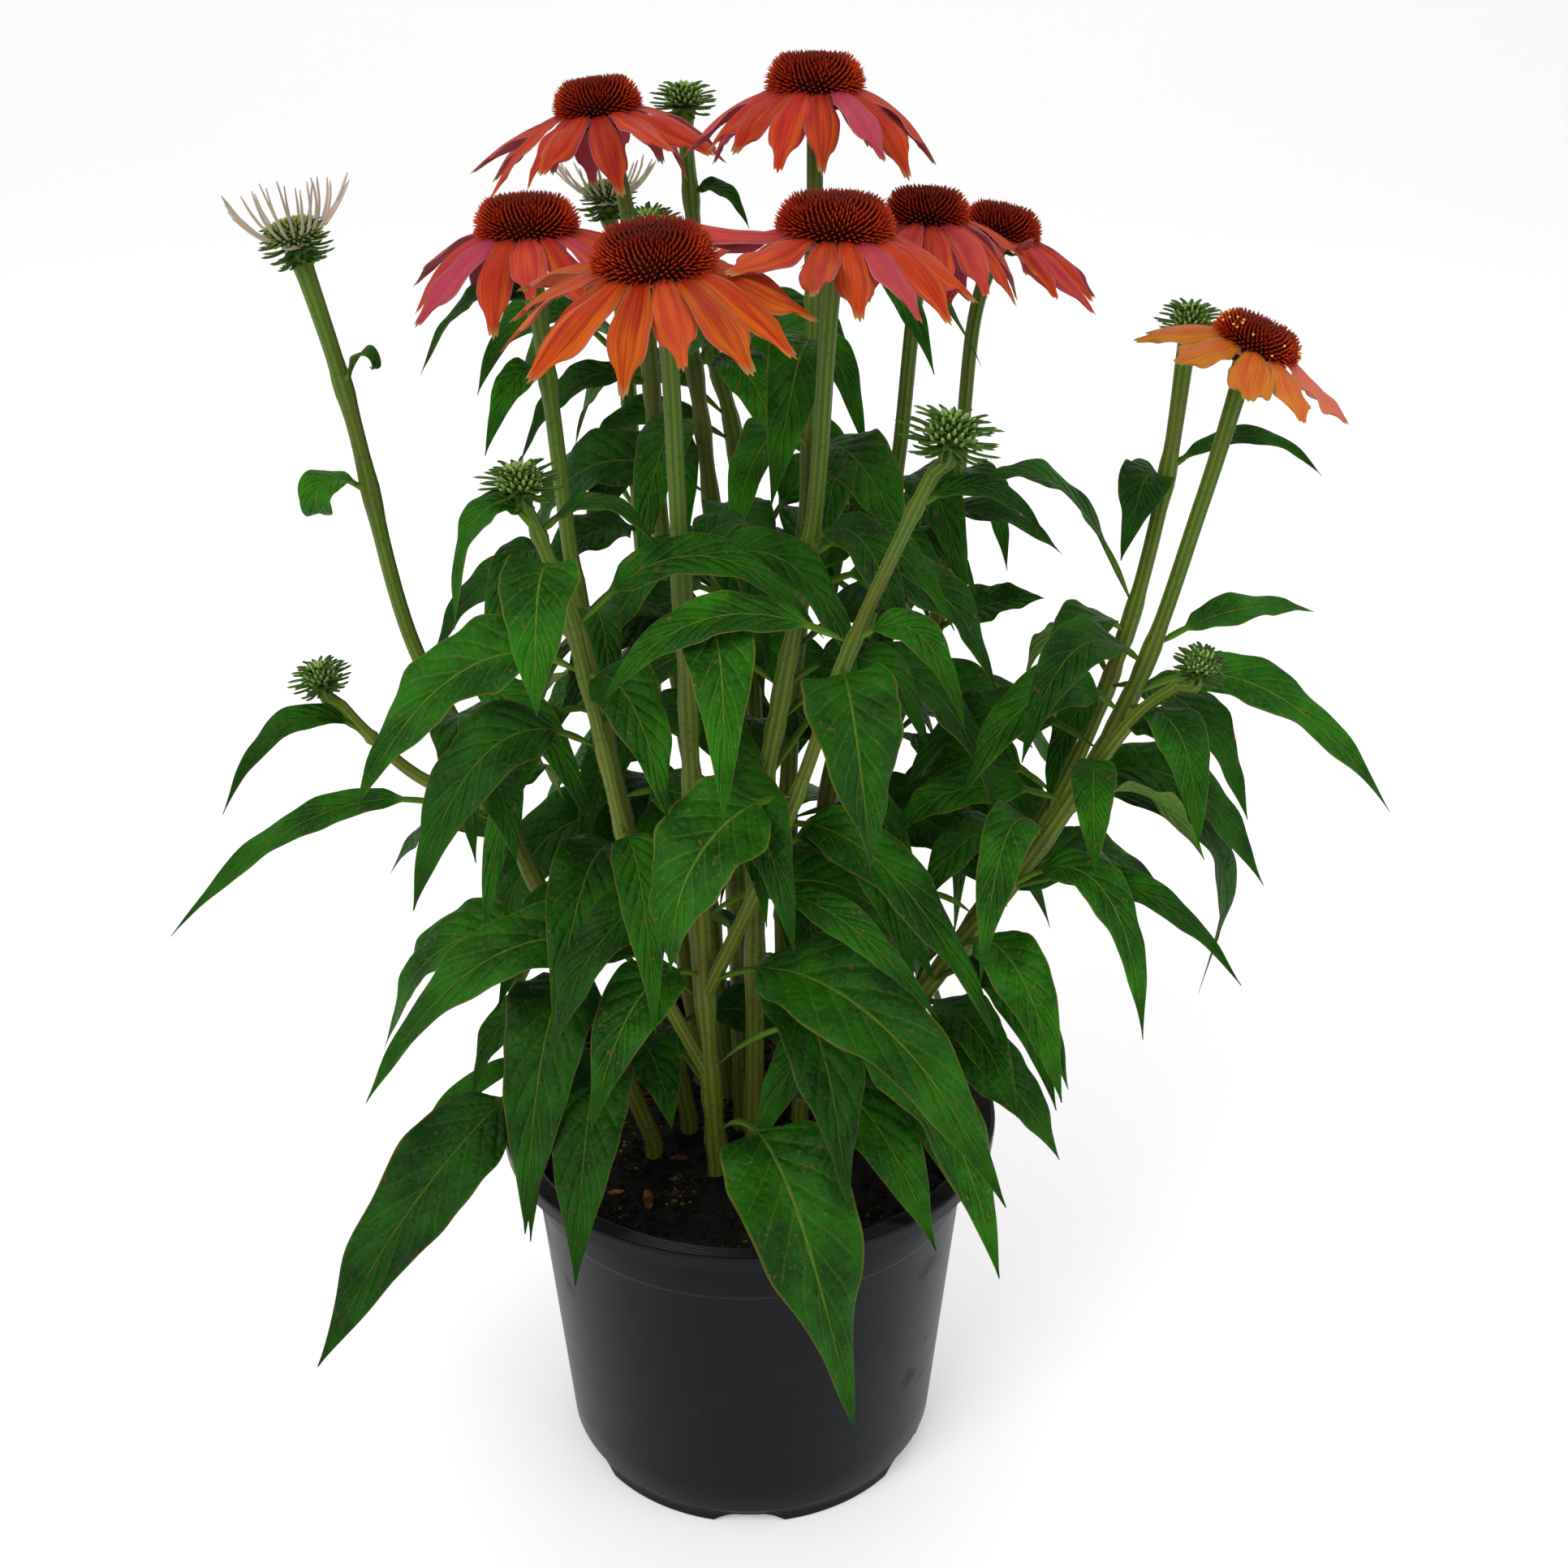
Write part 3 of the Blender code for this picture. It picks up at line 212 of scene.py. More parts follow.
# What each stem runs through, in millimetres. A first point without a height is in the soil.
ROUTES = {
    "centre": (
        (-12, -23), (-15, -30, 208), (-18, -30, 292), (-20, -42, 392), (-21, -56, 451),
        (-24, -63, 473)),
    "centre_front": ((4, -50, 265), (19, -60, 310), (33, -70, 358), (51, -78, 405), (62, -80, 429)),
    "centre_left": (
        (-33, -38, 228), (-41, -50, 288), (-53, -60, 363), (-63, -60, 397), (-67, -60, 409)),
    "left": (
        (-37, -10), (-55, -4, 183), (-70, 0, 221), (-95, 5, 282), (-119, 8, 338), (-133, 10, 418),
        (-145, 10, 470)),
    "left_low": ((-117, 0, 285), (-135, -5, 306), (-148, -5, 324)),
    "inner_left": (
        (-24, 6), (-38, 10, 216), (-52, 14, 298), (-61, 18, 358), (-66, 20, 416), (-71, 20, 470)),
    "back_left": (
        (-8, 30), (-21, 62, 242), (-33, 85, 336), (-38, 96, 425), (-46, 100, 478), (-53, 100, 500)),
    "back_middle": (
        (2, 22), (2, 75, 272), (-5, 105, 376), (-17, 120, 424), (-23, 130, 483), (-24, 130, 503)),
    "middle": ((-3, 9), (-7, 50, 283), (-13, 70, 357), (-21, 78, 425), (-30, 64, 459), (-33, 56, 468)),
    "back_tall": ((12, 34), (16, 40, 287), (23, 48, 391), (24, 50, 457), (24, 50, 495), (24, 50, 512)),
    "inner_right": (
        (2, -6), (4, -14, 262), (13, -20, 327), (23, -26, 387), (27, -30, 448), (29, -30, 477)),
    "mid_right": ((20, 12), (27, 35, 238), (46, 65, 327), (56, 78, 377), (61, 86, 430), (65, 88, 464)),
    "back_right": (
        (26, 34), (44, 75, 236), (74, 105, 302), (83, 122, 358), (88, 132, 421), (96, 132, 452)),
    "right": ((25, -12), (63, -12, 200), (108, -12, 268), (137, -5, 324), (155, 0, 387), (166, 0, 437)),
    "right_low": ((134, -22, 318), (146, -30, 333), (152, -34, 340)),
    "outer_right": (
        (37, 6), (75, 18, 197), (116, 30, 261), (138, 36, 321), (150, 40, 382), (154, 40, 439)),
    "rear_left": (
        (-20, 40), (-36, 90, 229), (-44, 125, 323), (-50, 142, 403), (-54, 154, 449),
        (-56, 156, 463)),
}
BRANCHES = {
    "centre_front": ("centre", 0.21), "centre_left": ("centre", 0.11), "left_low": ("left", 0.47),
    "right_low": ("right", 0.46),
}
STEMS = {
    name: Stem(tuple((spot[0] / 1000, spot[1] / 1000, spot[2] / 1000 if spot[2:] else STEM_FOOT)
                     for spot in route), *BRANCHES.get(name, ()))
    for name, route in ROUTES.items()}

BLOOMS = (
    Bloom("centre", 0.0182, 0.0138, 0.049, 16, 0.0118, 50),
    Bloom("inner_right", 0.0180, 0.0138, 0.048, 16, 0.0115, 50),
    Bloom("inner_left", 0.0170, 0.0134, 0.047, 15, 0.0115, 54),
    Bloom("back_left", 0.0157, 0.0132, 0.048, 15, 0.0115, 51),
    Bloom("back_tall", 0.0163, 0.0130, 0.045, 15, 0.0115, 54),
    Bloom("mid_right", 0.0153, 0.0126, 0.045, 15, 0.0108, 56),
    Bloom("back_right", 0.0153, 0.0126, 0.045, 15, 0.0108, 52, 6, 0),
    Bloom("right", 0.0153, 0.0124, 0.036, 9, 0.0122, 32, 20, 350, Kind.RIPE),
    Bloom("left", 0.0090, 0.0090, 0.022, 12, 0.0028, -56, 8, 180, Kind.YOUNG),
    Bloom("rear_left", 0.0090, 0.0090, 0.020, 12, 0.0028, -50, 0, 0, Kind.YOUNG),
)

BUDS = (
    Bud("centre_front", 0.0080, 0.0090, 0.0155),
    Bud("centre_left", 0.0070, 0.0080, 0.0135),
    Bud("left_low", 0.0060, 0.0070, 0.0110),
    Bud("back_middle", 0.0070, 0.0080, 0.0125),
    Bud("middle", 0.0065, 0.0075, 0.0120),
    Bud("right_low", 0.0055, 0.0060, 0.0100),
    Bud("outer_right", 0.0065, 0.0070, 0.0120),
)

BLOOM_ON = {bloom.stem: bloom for bloom in BLOOMS}
BUD_ON = {bud.stem: bud for bud in BUDS}
MAIN_STEMS = [name for name, stem in STEMS.items() if not stem.parent]

# Leaves seen from the front, by stem, each one's size judged: height up the stem and azimuth,
# then reach, rise, drop and width in millimetres, petiole share, middle and sweep
LEAF_TABLE = (
    ("left", (
        (0.15, 220, 135, -15, -85, 34, 0.40, 0.45), (0.13, 190, 85, -10, -50, 9, 0.30, 0.60, 5),
        (0.20, 205, 50, 5, -25, 14, 0.30, 0.60, 5), (0.20, 255, 75, 5, -55, 16, 0.30, 0.50, 5),
        (0.45, 185, 125, 10, -40, 13, 0.30), (0.77, 240, 35, 5, -20, 14, 0.10, 0.60, 15),
        (0.85, 315, 25, 15, 10, 6, 0.10, 0.60))),
    ("left_low", ((0.62, 195, 55, 10, -20, 11),)),
    ("centre", (
        (0.20, 195, 125, 35, -20, 26, 0.20), (0.22, 320, 140, 25, -30, 34, 0.20, 0.50, 5),
        (0.03, 295, 115, 35, -45, 42, 0.35, 0.60, 5))),
    ("centre_left", (
        (0.55, 195, 80, 5, -35, 28, 0.20, 0.45, 10), (0.48, 210, 70, 10, -40, 24, 0.20, 0.55),
        (0.78, 200, 35, 10, -25, 11), (0.78, 345, 40, 12, 0, 8),
        (0.70, 265, 35, 0, -35, 24, 0.15, 0.65), (0.60, 5, 80, 25, -5, 15, 0.15, 0.50, 5),
        (0.55, 320, 35, -3, -40, 22, 0.15, 0.55), (0.40, 290, 35, -10, -60, 17, 0.15, 0.60))),
    ("centre_front", (
        (0.62, 190, 80, 10, -15, 15, 0.15, 0.55, 5), (0.38, 220, 60, -5, -45, 34, 0.20, 0.60),
        (0.58, 280, 50, -3, -45, 30, 0.15, 0.65, 5), (0.62, 330, 40, 8, -20, 12, 0.15, 0.55),
        (0.82, 350, 40, 8, -5, 8), (0.20, 330, 70, 0, -30, 13, 0.20, 0.50, 5))),
    ("inner_left", (
        (0.42, 205, 50, -10, -85, 15, 0.20, 0.65), (0.92, 165, 45, 2, -25, 11, 0.10, 0.55, 10),
        (0.83, 230, 30, 3, -20, 12, 0.10))),
    ("back_left", ((0.55, 190, 55, 3, -25, 14),)),
    ("back_middle", ((0.50, 305, 25, 10, 0, 9, 0.10, 0.60, 10), (0.75, 340, 25, 3, -10, 8, 0.10))),
    ("inner_right", (
        (0.02, 310, 105, 35, -5, 31, 0.30, 0.45), (0.22, 335, 95, 0, -65, 22, 0.20, 0.50, 5))),
    ("mid_right", (
        (0.25, 300, 60, 10, -15, 10, 0.20, 0.70, 5), (0.52, 320, 80, 15, 5, 13, 0.20, 0.60, 10),
        (0.50, 310, 55, 5, -10, 11, 0.15, 0.60, 10))),
    ("back_right", (
        (0.27, 300, 65, 3, -65, 14, 0.20, 0.65), (0.28, 325, 90, -10, -55, 27, 0.20, 0.55, 10),
        (0.40, 340, 45, 14, 20, 20, 0.20, 0.45))),
    ("right", (
        (0.33, 340, 90, 13, -20, 13, 0.20, 0.50, 5), (0.58, 350, 95, 8, -35, 20, 0.20, 0.45),
        (0.64, 20, 65, 10, 5, 13, 0.20), (0.62, 220, 60, 15, -20, 19, 0.15, 0.60),
        (0.55, 310, 45, 6, -10, 16, 0.15, 0.60, 10), (0.50, 280, 40, 0, -25, 16, 0.15, 0.60, 5),
        (0.15, 335, 70, 2, -35, 24, 0.20, 0.55, 5))),
    ("outer_right", (
        (0.40, 350, 70, -5, -80, 20, 0.15, 0.80), (0.55, 225, 35, -8, -40, 12, 0.15, 0.60),
        (0.80, 240, 30, 5, -20, 19, 0.10, 0.55, 8), (0.65, 205, 70, 50, 55, 16, 0.20),
        (0.82, 355, 55, 13, 0, 8, 0.10), (0.20, 340, 55, 0, -45, 21, 0.20))),
    ("right", ((0.05, 322, 85, 30, -35, 26, 0.30),)),
)
FRONT_LEAVES = tuple(
    Leaf(stem, at, azimuth, reach / 1000, rise / 1000, drop / 1000, width / 1000, *form)
    for stem, rows in LEAF_TABLE for at, azimuth, reach, rise, drop, width, *form in rows)

# The leaves that fill the plant follow the stems' own order of growth
FILL_HEIGHTS = (0.12, 0.26, 0.40, 0.56)
FILL_LONG = 0.100
FILL_SHORT = 0.030
FILL_WIDTH_SHARE = 0.30
FILL_RISE_SHARE = 0.20
FILL_FALL_SHARE = 0.32
FILL_ROLL = 25
STEM_TURN = 2.3
TURNS = (0, 8, -8, 16, -16, 24, -24, 36, -36, 48, -48)
LIFTS = (0, 0.008, -0.008, 0.016)
PETAL_DROOPS = (0, 12, -25, 24, -45, 36, -65, -85)
CROWDED_DISTANCE = 0.085
CROWDED_DROOP = 70
CROWDED_COSINE = 0.8


Item = bpy.types.Object
Mesh = bpy.types.Mesh
Material = bpy.types.Material
Shell = tuple[list[Vector], list[tuple[int, ...]]]
Box = tuple[tuple[float, ...], tuple[float, ...]]


@dataclass(frozen=True)
class Section:
    """One section of a leaf or petal: its centre, its directions and its size."""

    centre: Vector
    side: Vector
    normal: Vector
    half: float
    thickness: float
    fold: float = 0.0


def catmull_rom(points: Sequence[tuple[float, float, float]], t: float) -> Vector:
    """Return the point at share t, from 0 to 1, of a smooth curve through some points."""
    last = len(points) - 1
    step = min(int(t * last), last - 1)
    u = t * last - step
    b = Vector(points[step])
    c = Vector(points[step + 1])
    a = Vector(points[step - 1]) if step > 0 else 2 * b - c
    d = Vector(points[step + 2]) if step + 2 <= last else 2 * c - b
    return 0.5 * (
        2 * b + (c - a) * u
        + (2 * a - 5 * b + 4 * c - d) * u ** 2
        + (3 * b - a - 3 * c + d) * u ** 3
    )


def stem_route(name: str) -> tuple:
    """Return the points of a stem's route, from inside its parent if it is a branch."""
    stem = STEMS[name]
    if not stem.parent:
        return stem.route
    return (tuple(stem_point(stem.parent, stem.leaves_parent_at)),) + stem.route


def stem_point(name: str, t: float) -> Vector:
    """Return the point at share t of the way up a stem."""
    return catmull_rom(stem_route(name), t)


def stem_top(name: str) -> tuple[Vector, Vector]:
    """Return the end of a stem and the direction in which it ends."""
    end = stem_point(name, 1.0)
    return end, (end - stem_point(name, 0.96)).normalized()


def stem_radius(t: float) -> float:
    """Return the radius of a stem, thickest at the foot and swelling under the head."""
    swell = max(0.0, (t - 0.8) / 0.2)
    low = STEM_LOW_RADIUS + (STEM_MID_RADIUS - STEM_LOW_RADIUS) * min(1.0, 2 * t)
    return low + (STEM_TOP_RADIUS - STEM_MID_RADIUS) * swell ** 2


def stem_line(name: str, pieces: float = STEM_PIECES) -> tuple[list[Vector], list[float]]:
    """Lay out a stem, straight in the soil and square to its head on top.

    Args:
        name: The stem's name.
        pieces: Straight pieces for each stretch of the stem's route.

    Returns:
        The points along the stem and the radius at each.
    """
    stem = STEMS[name]
    count = math.ceil(pieces * (len(stem_route(name)) - 1))
    share = BRANCH_SHARE if stem.parent else 1.0
    points = [stem_point(name, i / count) for i in range(count + 1)]
    radii = [share * stem_radius(i / count) for i in range(count + 1)]
    foot, axis = head_place(name)
    points[-1:] = [foot - NECK_LENGTH * axis, foot - BRACT_THICKNESS / 3 * axis]
    radii.append(radii[-1])
    if not stem.parent:
        points.insert(0, Vector((points[0].x, points[0].y, SOIL_TOP - HOLE_DEPTH + 0.001)))
        radii.insert(0, radii[0])
    return points, radii


def owner(stem_name: str) -> str:
    """Return the node of a stem, which a branch shares with the stem that it grows from."""
    return "shoot_" + (STEMS[stem_name].parent or stem_name)


def level(azimuth: float) -> Vector:
    """Return the level direction of an azimuth."""
    turn = math.radians(azimuth)
    return Vector((math.cos(turn), math.sin(turn), 0))


def leaf_path(leaf: Leaf) -> tuple[Vector, Vector, Vector]:
    """Return the root, control point and tip of the arch that a leaf's midrib follows."""
    root = stem_point(leaf.stem, leaf.at)
    tip = root + leaf.reach * level(leaf.azimuth) + Vector((0, 0, leaf.drop))
    middle = (root + leaf.middle * leaf.reach * level(leaf.azimuth - leaf.sweep)
              + Vector((0, 0, leaf.rise)))
    return root, 2 * middle - (root + tip) / 2, tip


def blade_outline(v: float) -> float:
    """Return a blade's half width, as a share of its widest, at share v of its length."""
    widest_at = BLADE_BASE_POWER / (BLADE_BASE_POWER + BLADE_TIP_POWER)
    peak = widest_at ** BLADE_BASE_POWER * (1 - widest_at) ** BLADE_TIP_POWER
    return v ** BLADE_BASE_POWER * (1 - v) ** BLADE_TIP_POWER / peak


def leaf_roll(leaf: Leaf) -> float:
    """Return the turn of a blade about its midrib, in radians."""
    roll = -FACE_FRONT * math.cos(math.radians(leaf.azimuth)) if leaf.roll is None else leaf.roll
    return math.radians(roll)


def leaf_section(leaf: Leaf, path: tuple[Vector, Vector, Vector], u: float) -> Section:
    """Find a section of a leaf.

    Args:
        leaf: The leaf.
        path: What leaf_path gives for it.
        u: Share of the way from its root to its tip.

    Returns:
        The section there.
    """
    root, control, tip = path
    centre = (1 - u) ** 2 * root + 2 * u * (1 - u) * control + u ** 2 * tip
    tangent = ((1 - u) * (control - root) + u * (tip - control)).normalized()
    side = tangent.cross(UP)
    if side.length < 0.15:
        side = level(leaf.azimuth - 90)
    roll = -leaf_roll(leaf) * min(1, u / leaf.petiole)
    side = Matrix.Rotation(roll, 3, tangent) @ side.normalized()
    v = max(0.0, (u - leaf.petiole) / (1 - leaf.petiole))
    half = max(PETIOLE_HALF_WIDTH, leaf.width / 2 * blade_outline(v))
    if u == 1:
        half = PETIOLE_HALF_WIDTH / 2
    thickness = PETIOLE_THICKNESS if v == 0 else LEAF_THICKNESS
    fold = LEAF_FOLD * half if v > 0 else 0
    return Section(centre, side, side.cross(tangent), half, thickness, fold)


def leaf_rows(leaf: Leaf, steps: Iterable[float]) -> list[Section]:
    """Return a leaf's sections at its root, its petiole's end and some steps of its blade."""
    path = leaf_path(leaf)
    shares = [0, leaf.petiole] + [leaf.petiole + (1 - leaf.petiole) * v for v in steps]
    return [leaf_section(leaf, path, u) for u in shares]


def blade_steps(leaf: Leaf) -> tuple[float, ...]:
    """Return the steps of a blade's guard: small leaves need fewer."""
    return (0.26, 0.64, 1) if leaf.width > WIDE_LEAF else (0.42, 1)


def ribbon(rows: Sequence[Section], extra: float = 0.0) -> Shell:
    """Close a thin solid through sections, with a plain triangle at each end.

    Args:
        rows: The sections, three points wide on both faces.
        extra: Thickness added to them, as a guard.

    Returns:
        The solid's points and triangles.
    """
    vertices = []
    last = len(rows) - 1
    for order, row in enumerate(rows):
        up = row.normal * (row.thickness + extra) / 2
        left = row.centre - row.side * row.half + row.normal * row.fold
        right = row.centre + row.side * row.half + row.normal * row.fold
        if order in (0, last):
            vertices += [left + up, right + up, row.centre - up]
        else:
            vertices += [left + up, row.centre + up, right + up]
            vertices += [right - up, row.centre - up, left - up]
    faces = []
    for order in range(1, last - 1):
        a = 6 * order - 3
        b = a + 6
        faces += [(a, a + 1, b + 1), (a, b + 1, b), (a + 1, a + 2, b + 1), (a + 2, b + 2, b + 1)]
        faces += [(a + 5, b + 4, a + 4), (a + 5, b + 5, b + 4)]
        faces += [(a + 4, b + 4, a + 3), (a + 3, b + 4, b + 3)]
        faces += [(a + 2, a + 3, b + 3), (a + 2, b + 3, b + 2)]
        faces += [(a + 5, a, b), (a + 5, b, b + 5)]
    end = 6 * last - 3
    for (left, right, below), full in (((0, 1, 2), 3), ((end, end + 1, end + 2), end - 6)):
        faces += [(left, full, full + 1), (left, full + 1, right), (right, full + 1, full + 2)]
        faces += [(right, full + 2, full + 3), (right, full + 3, below)]
        faces += [(below, full + 3, full + 4), (below, full + 4, full + 5)]
        faces += [(below, full + 5, left), (left, full + 5, full), (left, right, below)]
    return vertices, faces


def tube(points: Sequence[Vector], radii: Sequence[float], sides: int = 6) -> Shell:
    """Return an open tube through some points, which keeps leaves clear of stems and heads."""
    vertices = []
    for i, (point, radius) in enumerate(zip(points, radii)):
        ahead = points[min(i + 1, len(points) - 1)] - points[max(i - 1, 0)]
        side = ahead.cross(Vector((0, 1, 0))).normalized()
        other = side.cross(ahead).normalized()
        for k in range(sides):
            turn = math.tau * k / sides
            vertices.append(point + radius * (math.cos(turn) * side + math.sin(turn) * other))
    faces = []
    for i in range(len(points) - 1):
        for k in range(sides):
            a = i * sides + k
            b = i * sides + (k + 1) % sides
            faces += [(a, b, b + sides), (a, b + sides, a + sides)]
    return vertices, faces


def head_place(stem_name: str) -> tuple[Vector, Vector]:
    """Return the foot and axis of the head on a stem, leaning as its bloom says."""
    foot, axis = stem_top(stem_name)
    axis = (axis + 2 * UP).normalized()
    bloom = BLOOM_ON.get(stem_name)
    if bloom:
        lean = math.sin(math.radians(bloom.lean)) * level(bloom.lean_azimuth)
        axis = (axis + lean).normalized()
    return foot, axis


def axis_frame(foot: Vector, axis: Vector) -> Matrix:
    """Return the matrix that stands a shape built along +Z on a foot point, along an axis."""
    turn = UP.rotation_difference(axis).to_matrix().to_4x4()
    return Matrix.Translation(foot) @ turn


def ring_frame(bloom: Bloom) -> Matrix:
    """Return the matrix that puts a petal ring, built round +Z, on its stem."""
    foot, axis = head_place(bloom.stem)
    return axis_frame(foot + axis * (GAP + DISC_THICKNESS / 2), axis)


def crowding(bloom: Bloom, index: int) -> float:
    """Return the extra droop of a petal that points at a neighbouring bloom."""
    foot = head_place(bloom.stem)[0]
    out = level(360 * (index + 0.5) / bloom.petal_count)
    extra = 0
    for other in BLOOMS:
        away = head_place(other.stem)[0] - foot
        away.z = 0
        skipped = bloom.kind is Kind.YOUNG or other.stem == bloom.stem
        if skipped or away.length > CROWDED_DISTANCE:
            continue
        if away.normalized().dot(out) > CROWDED_COSINE:
            extra = CROWDED_DROOP * (1 - away.length / CROWDED_DISTANCE)
    return extra


def petal_slope(droop: float, share: float) -> float:
    """Return a petal's slope part of the way along it: almost level first, then falling."""
    return math.radians(PETAL_START - (droop + PETAL_START) * min(1, share * PETAL_BEND))


def petal_rows(bloom: Bloom, index: int, extra_droop: float, shares: Sequence[float],
               widths: Sequence[float]) -> list[Section]:
    """Lay out a petal, which leaves the disc level and hangs down towards its tip.

    Args:
        bloom: The petal's bloom.
        index: The petal's place in the ring.
        extra_droop: What its droop is more than the bloom's own.
        shares: How far along the petal each section lies.
        widths: Each section's width, as a share of the widest.

    Returns:
        The sections, round the bloom's own axis.
    """
    draw = random.Random(f"{bloom.stem} petal {index}")
    out = level(360 * (index + 0.5) / bloom.petal_count)
    length = bloom.petal_length * draw.uniform(0.92, 1.06)
    droop = bloom.droop + draw.uniform(-10, 10) + extra_droop
    root = out * DISC_SHARE * bloom.cone_radius * math.cos(math.pi / bloom.petal_count)
    rows = []
    for share, width in zip(shares, widths):
        here = root.copy()
        for k in range(PETAL_STEPS):
            angle = petal_slope(droop, share * (k + 0.5) / PETAL_STEPS)
            here += length * share / PETAL_STEPS * (math.cos(angle) * out + math.sin(angle) * UP)
        angle = petal_slope(droop, share)
        normal = math.cos(angle) * UP - math.sin(angle) * out
        half = bloom.petal_width * width / 2
        rows.append(Section(here, out.cross(UP), normal, half, PETAL_THICKNESS))
    return rows


def petal_guard(bloom: Bloom, index: int, extra_droop: float) -> Shell:
    """Return the space that a petal takes up, from the disc's rim to its tip."""
    shares, widths = PETAL_SHARES, PETAL_WIDTHS
    if bloom.kind is Kind.YOUNG:
        shares, widths = YOUNG_SHARES, YOUNG_WIDTHS
    rows = petal_rows(bloom, index, extra_droop, (0.05,) + shares, (0.35,) + widths)
    vertices, faces = ribbon(rows, CLEARANCE / 2)
    place = ring_frame(bloom)
    return [place @ vertex for vertex in vertices], faces


def box_of(points: Sequence[Vector]) -> Box:
    """Return the lowest and highest corner of some points."""
    lows = tuple(min(p[k] for p in points) for k in range(3))
    highs = tuple(max(p[k] for p in points) for k in range(3))
    return lows, highs


def apart(box: Box, other: Box) -> bool:
    """Tell whether two boxes are apart."""
    return any(box[0][k] > other[1][k] or other[0][k] > box[1][k] for k in range(3))


class Clearance:
    """What already stands in the garden, by owner, so that nothing new crosses another's."""

    def __init__(self) -> None:
        """Start with nothing standing."""
        self.standing: list[tuple[str, BVHTree, Box]] = []

    def add(self, name: str, shell: Shell) -> None:
        """Stand a shell in the garden under its owner's name."""
        self.standing.append((name, BVHTree.FromPolygons(*shell), box_of(shell[0])))

    def is_clear(self, name: str, shell: Shell) -> bool:
        """Tell whether a shell crosses nothing but what has its own owner."""
        box = box_of(shell[0])
        tree = None
        for other, other_tree, other_box in self.standing:
            if other == name or apart(box, other_box):
                continue
            tree = tree or BVHTree.FromPolygons(*shell)
            if tree.overlap(other_tree):
                return False
        return True


def rim_guard() -> Shell:
    """Return the space that the pot's wall and lip take up, as a closed ring."""
    inner = SHOULDER_RADIUS - 2 * WALL
    outer = RIM_RADIUS + 0.001
    corners = ((inner, 0), (outer, 0), (outer, RIM_HEIGHT + 0.001), (inner, RIM_HEIGHT + 0.001))
    sides = 36
    vertices = []
    for k in range(sides):
        direction = level(360 * k / sides)
        vertices += [direction * radius + Vector((0, 0, z)) for radius, z in corners]
    faces = []
    for k in range(sides):
        for j in range(4):
            a = 4 * k + j
            b = 4 * k + (j + 1) % 4
            c = 4 * ((k + 1) % sides)
            faces += [(a, b, c + (j + 1) % 4), (a, c + (j + 1) % 4, c + j)]
    return vertices, faces


def filling_leaves() -> list[Leaf]:
    """Return the leaves that spiral up each stem on all its sides, shorter towards the top."""
    draw = random.Random("filling leaves")
    leaves = []
    for order, (name, stem) in enumerate(STEMS.items()):
        if stem.parent:
            continue
        for step, height in enumerate(FILL_HEIGHTS):
            azimuth = round(GOLDEN_ANGLE * (step + STEM_TURN * order)) % 360
            reach = (FILL_LONG + (FILL_SHORT - FILL_LONG) * height) * draw.uniform(0.85, 1.15)
            roll = draw.uniform(-FILL_ROLL, FILL_ROLL) if azimuth < 180 else None
            leaves.append(Leaf(name, height, azimuth, reach, FILL_RISE_SHARE * reach,
                               -FILL_FALL_SHARE * reach, FILL_WIDTH_SHARE * reach,
                               0.32 - 0.3 * height, roll=roll))
    return leaves


def inner_leaves() -> list[Leaf]:
    """Return the small leaves that thicken the middle of the plant, between the others."""
    draw = random.Random("inner leaves")
    leaves = []
    for name in MAIN_STEMS:
        for step in range(INNER_COUNT):
            height = INNER_LOW + (INNER_HIGH - INNER_LOW) * (step + draw.random()) / INNER_COUNT
            azimuth = draw.uniform(180, 360) if step % 3 else draw.uniform(0, 180)
            reach = (INNER_LONG + (INNER_SHORT - INNER_LONG) * height) * draw.uniform(0.8, 1.2)
            leaves.append(Leaf(name, height, azimuth, reach, draw.uniform(0.05, 0.3) * reach,
                               -draw.uniform(0.1, 0.6) * reach, draw.uniform(0.24, 0.36) * reach,
                               0.2, 0.55, draw.uniform(-8, 8)))
    return leaves


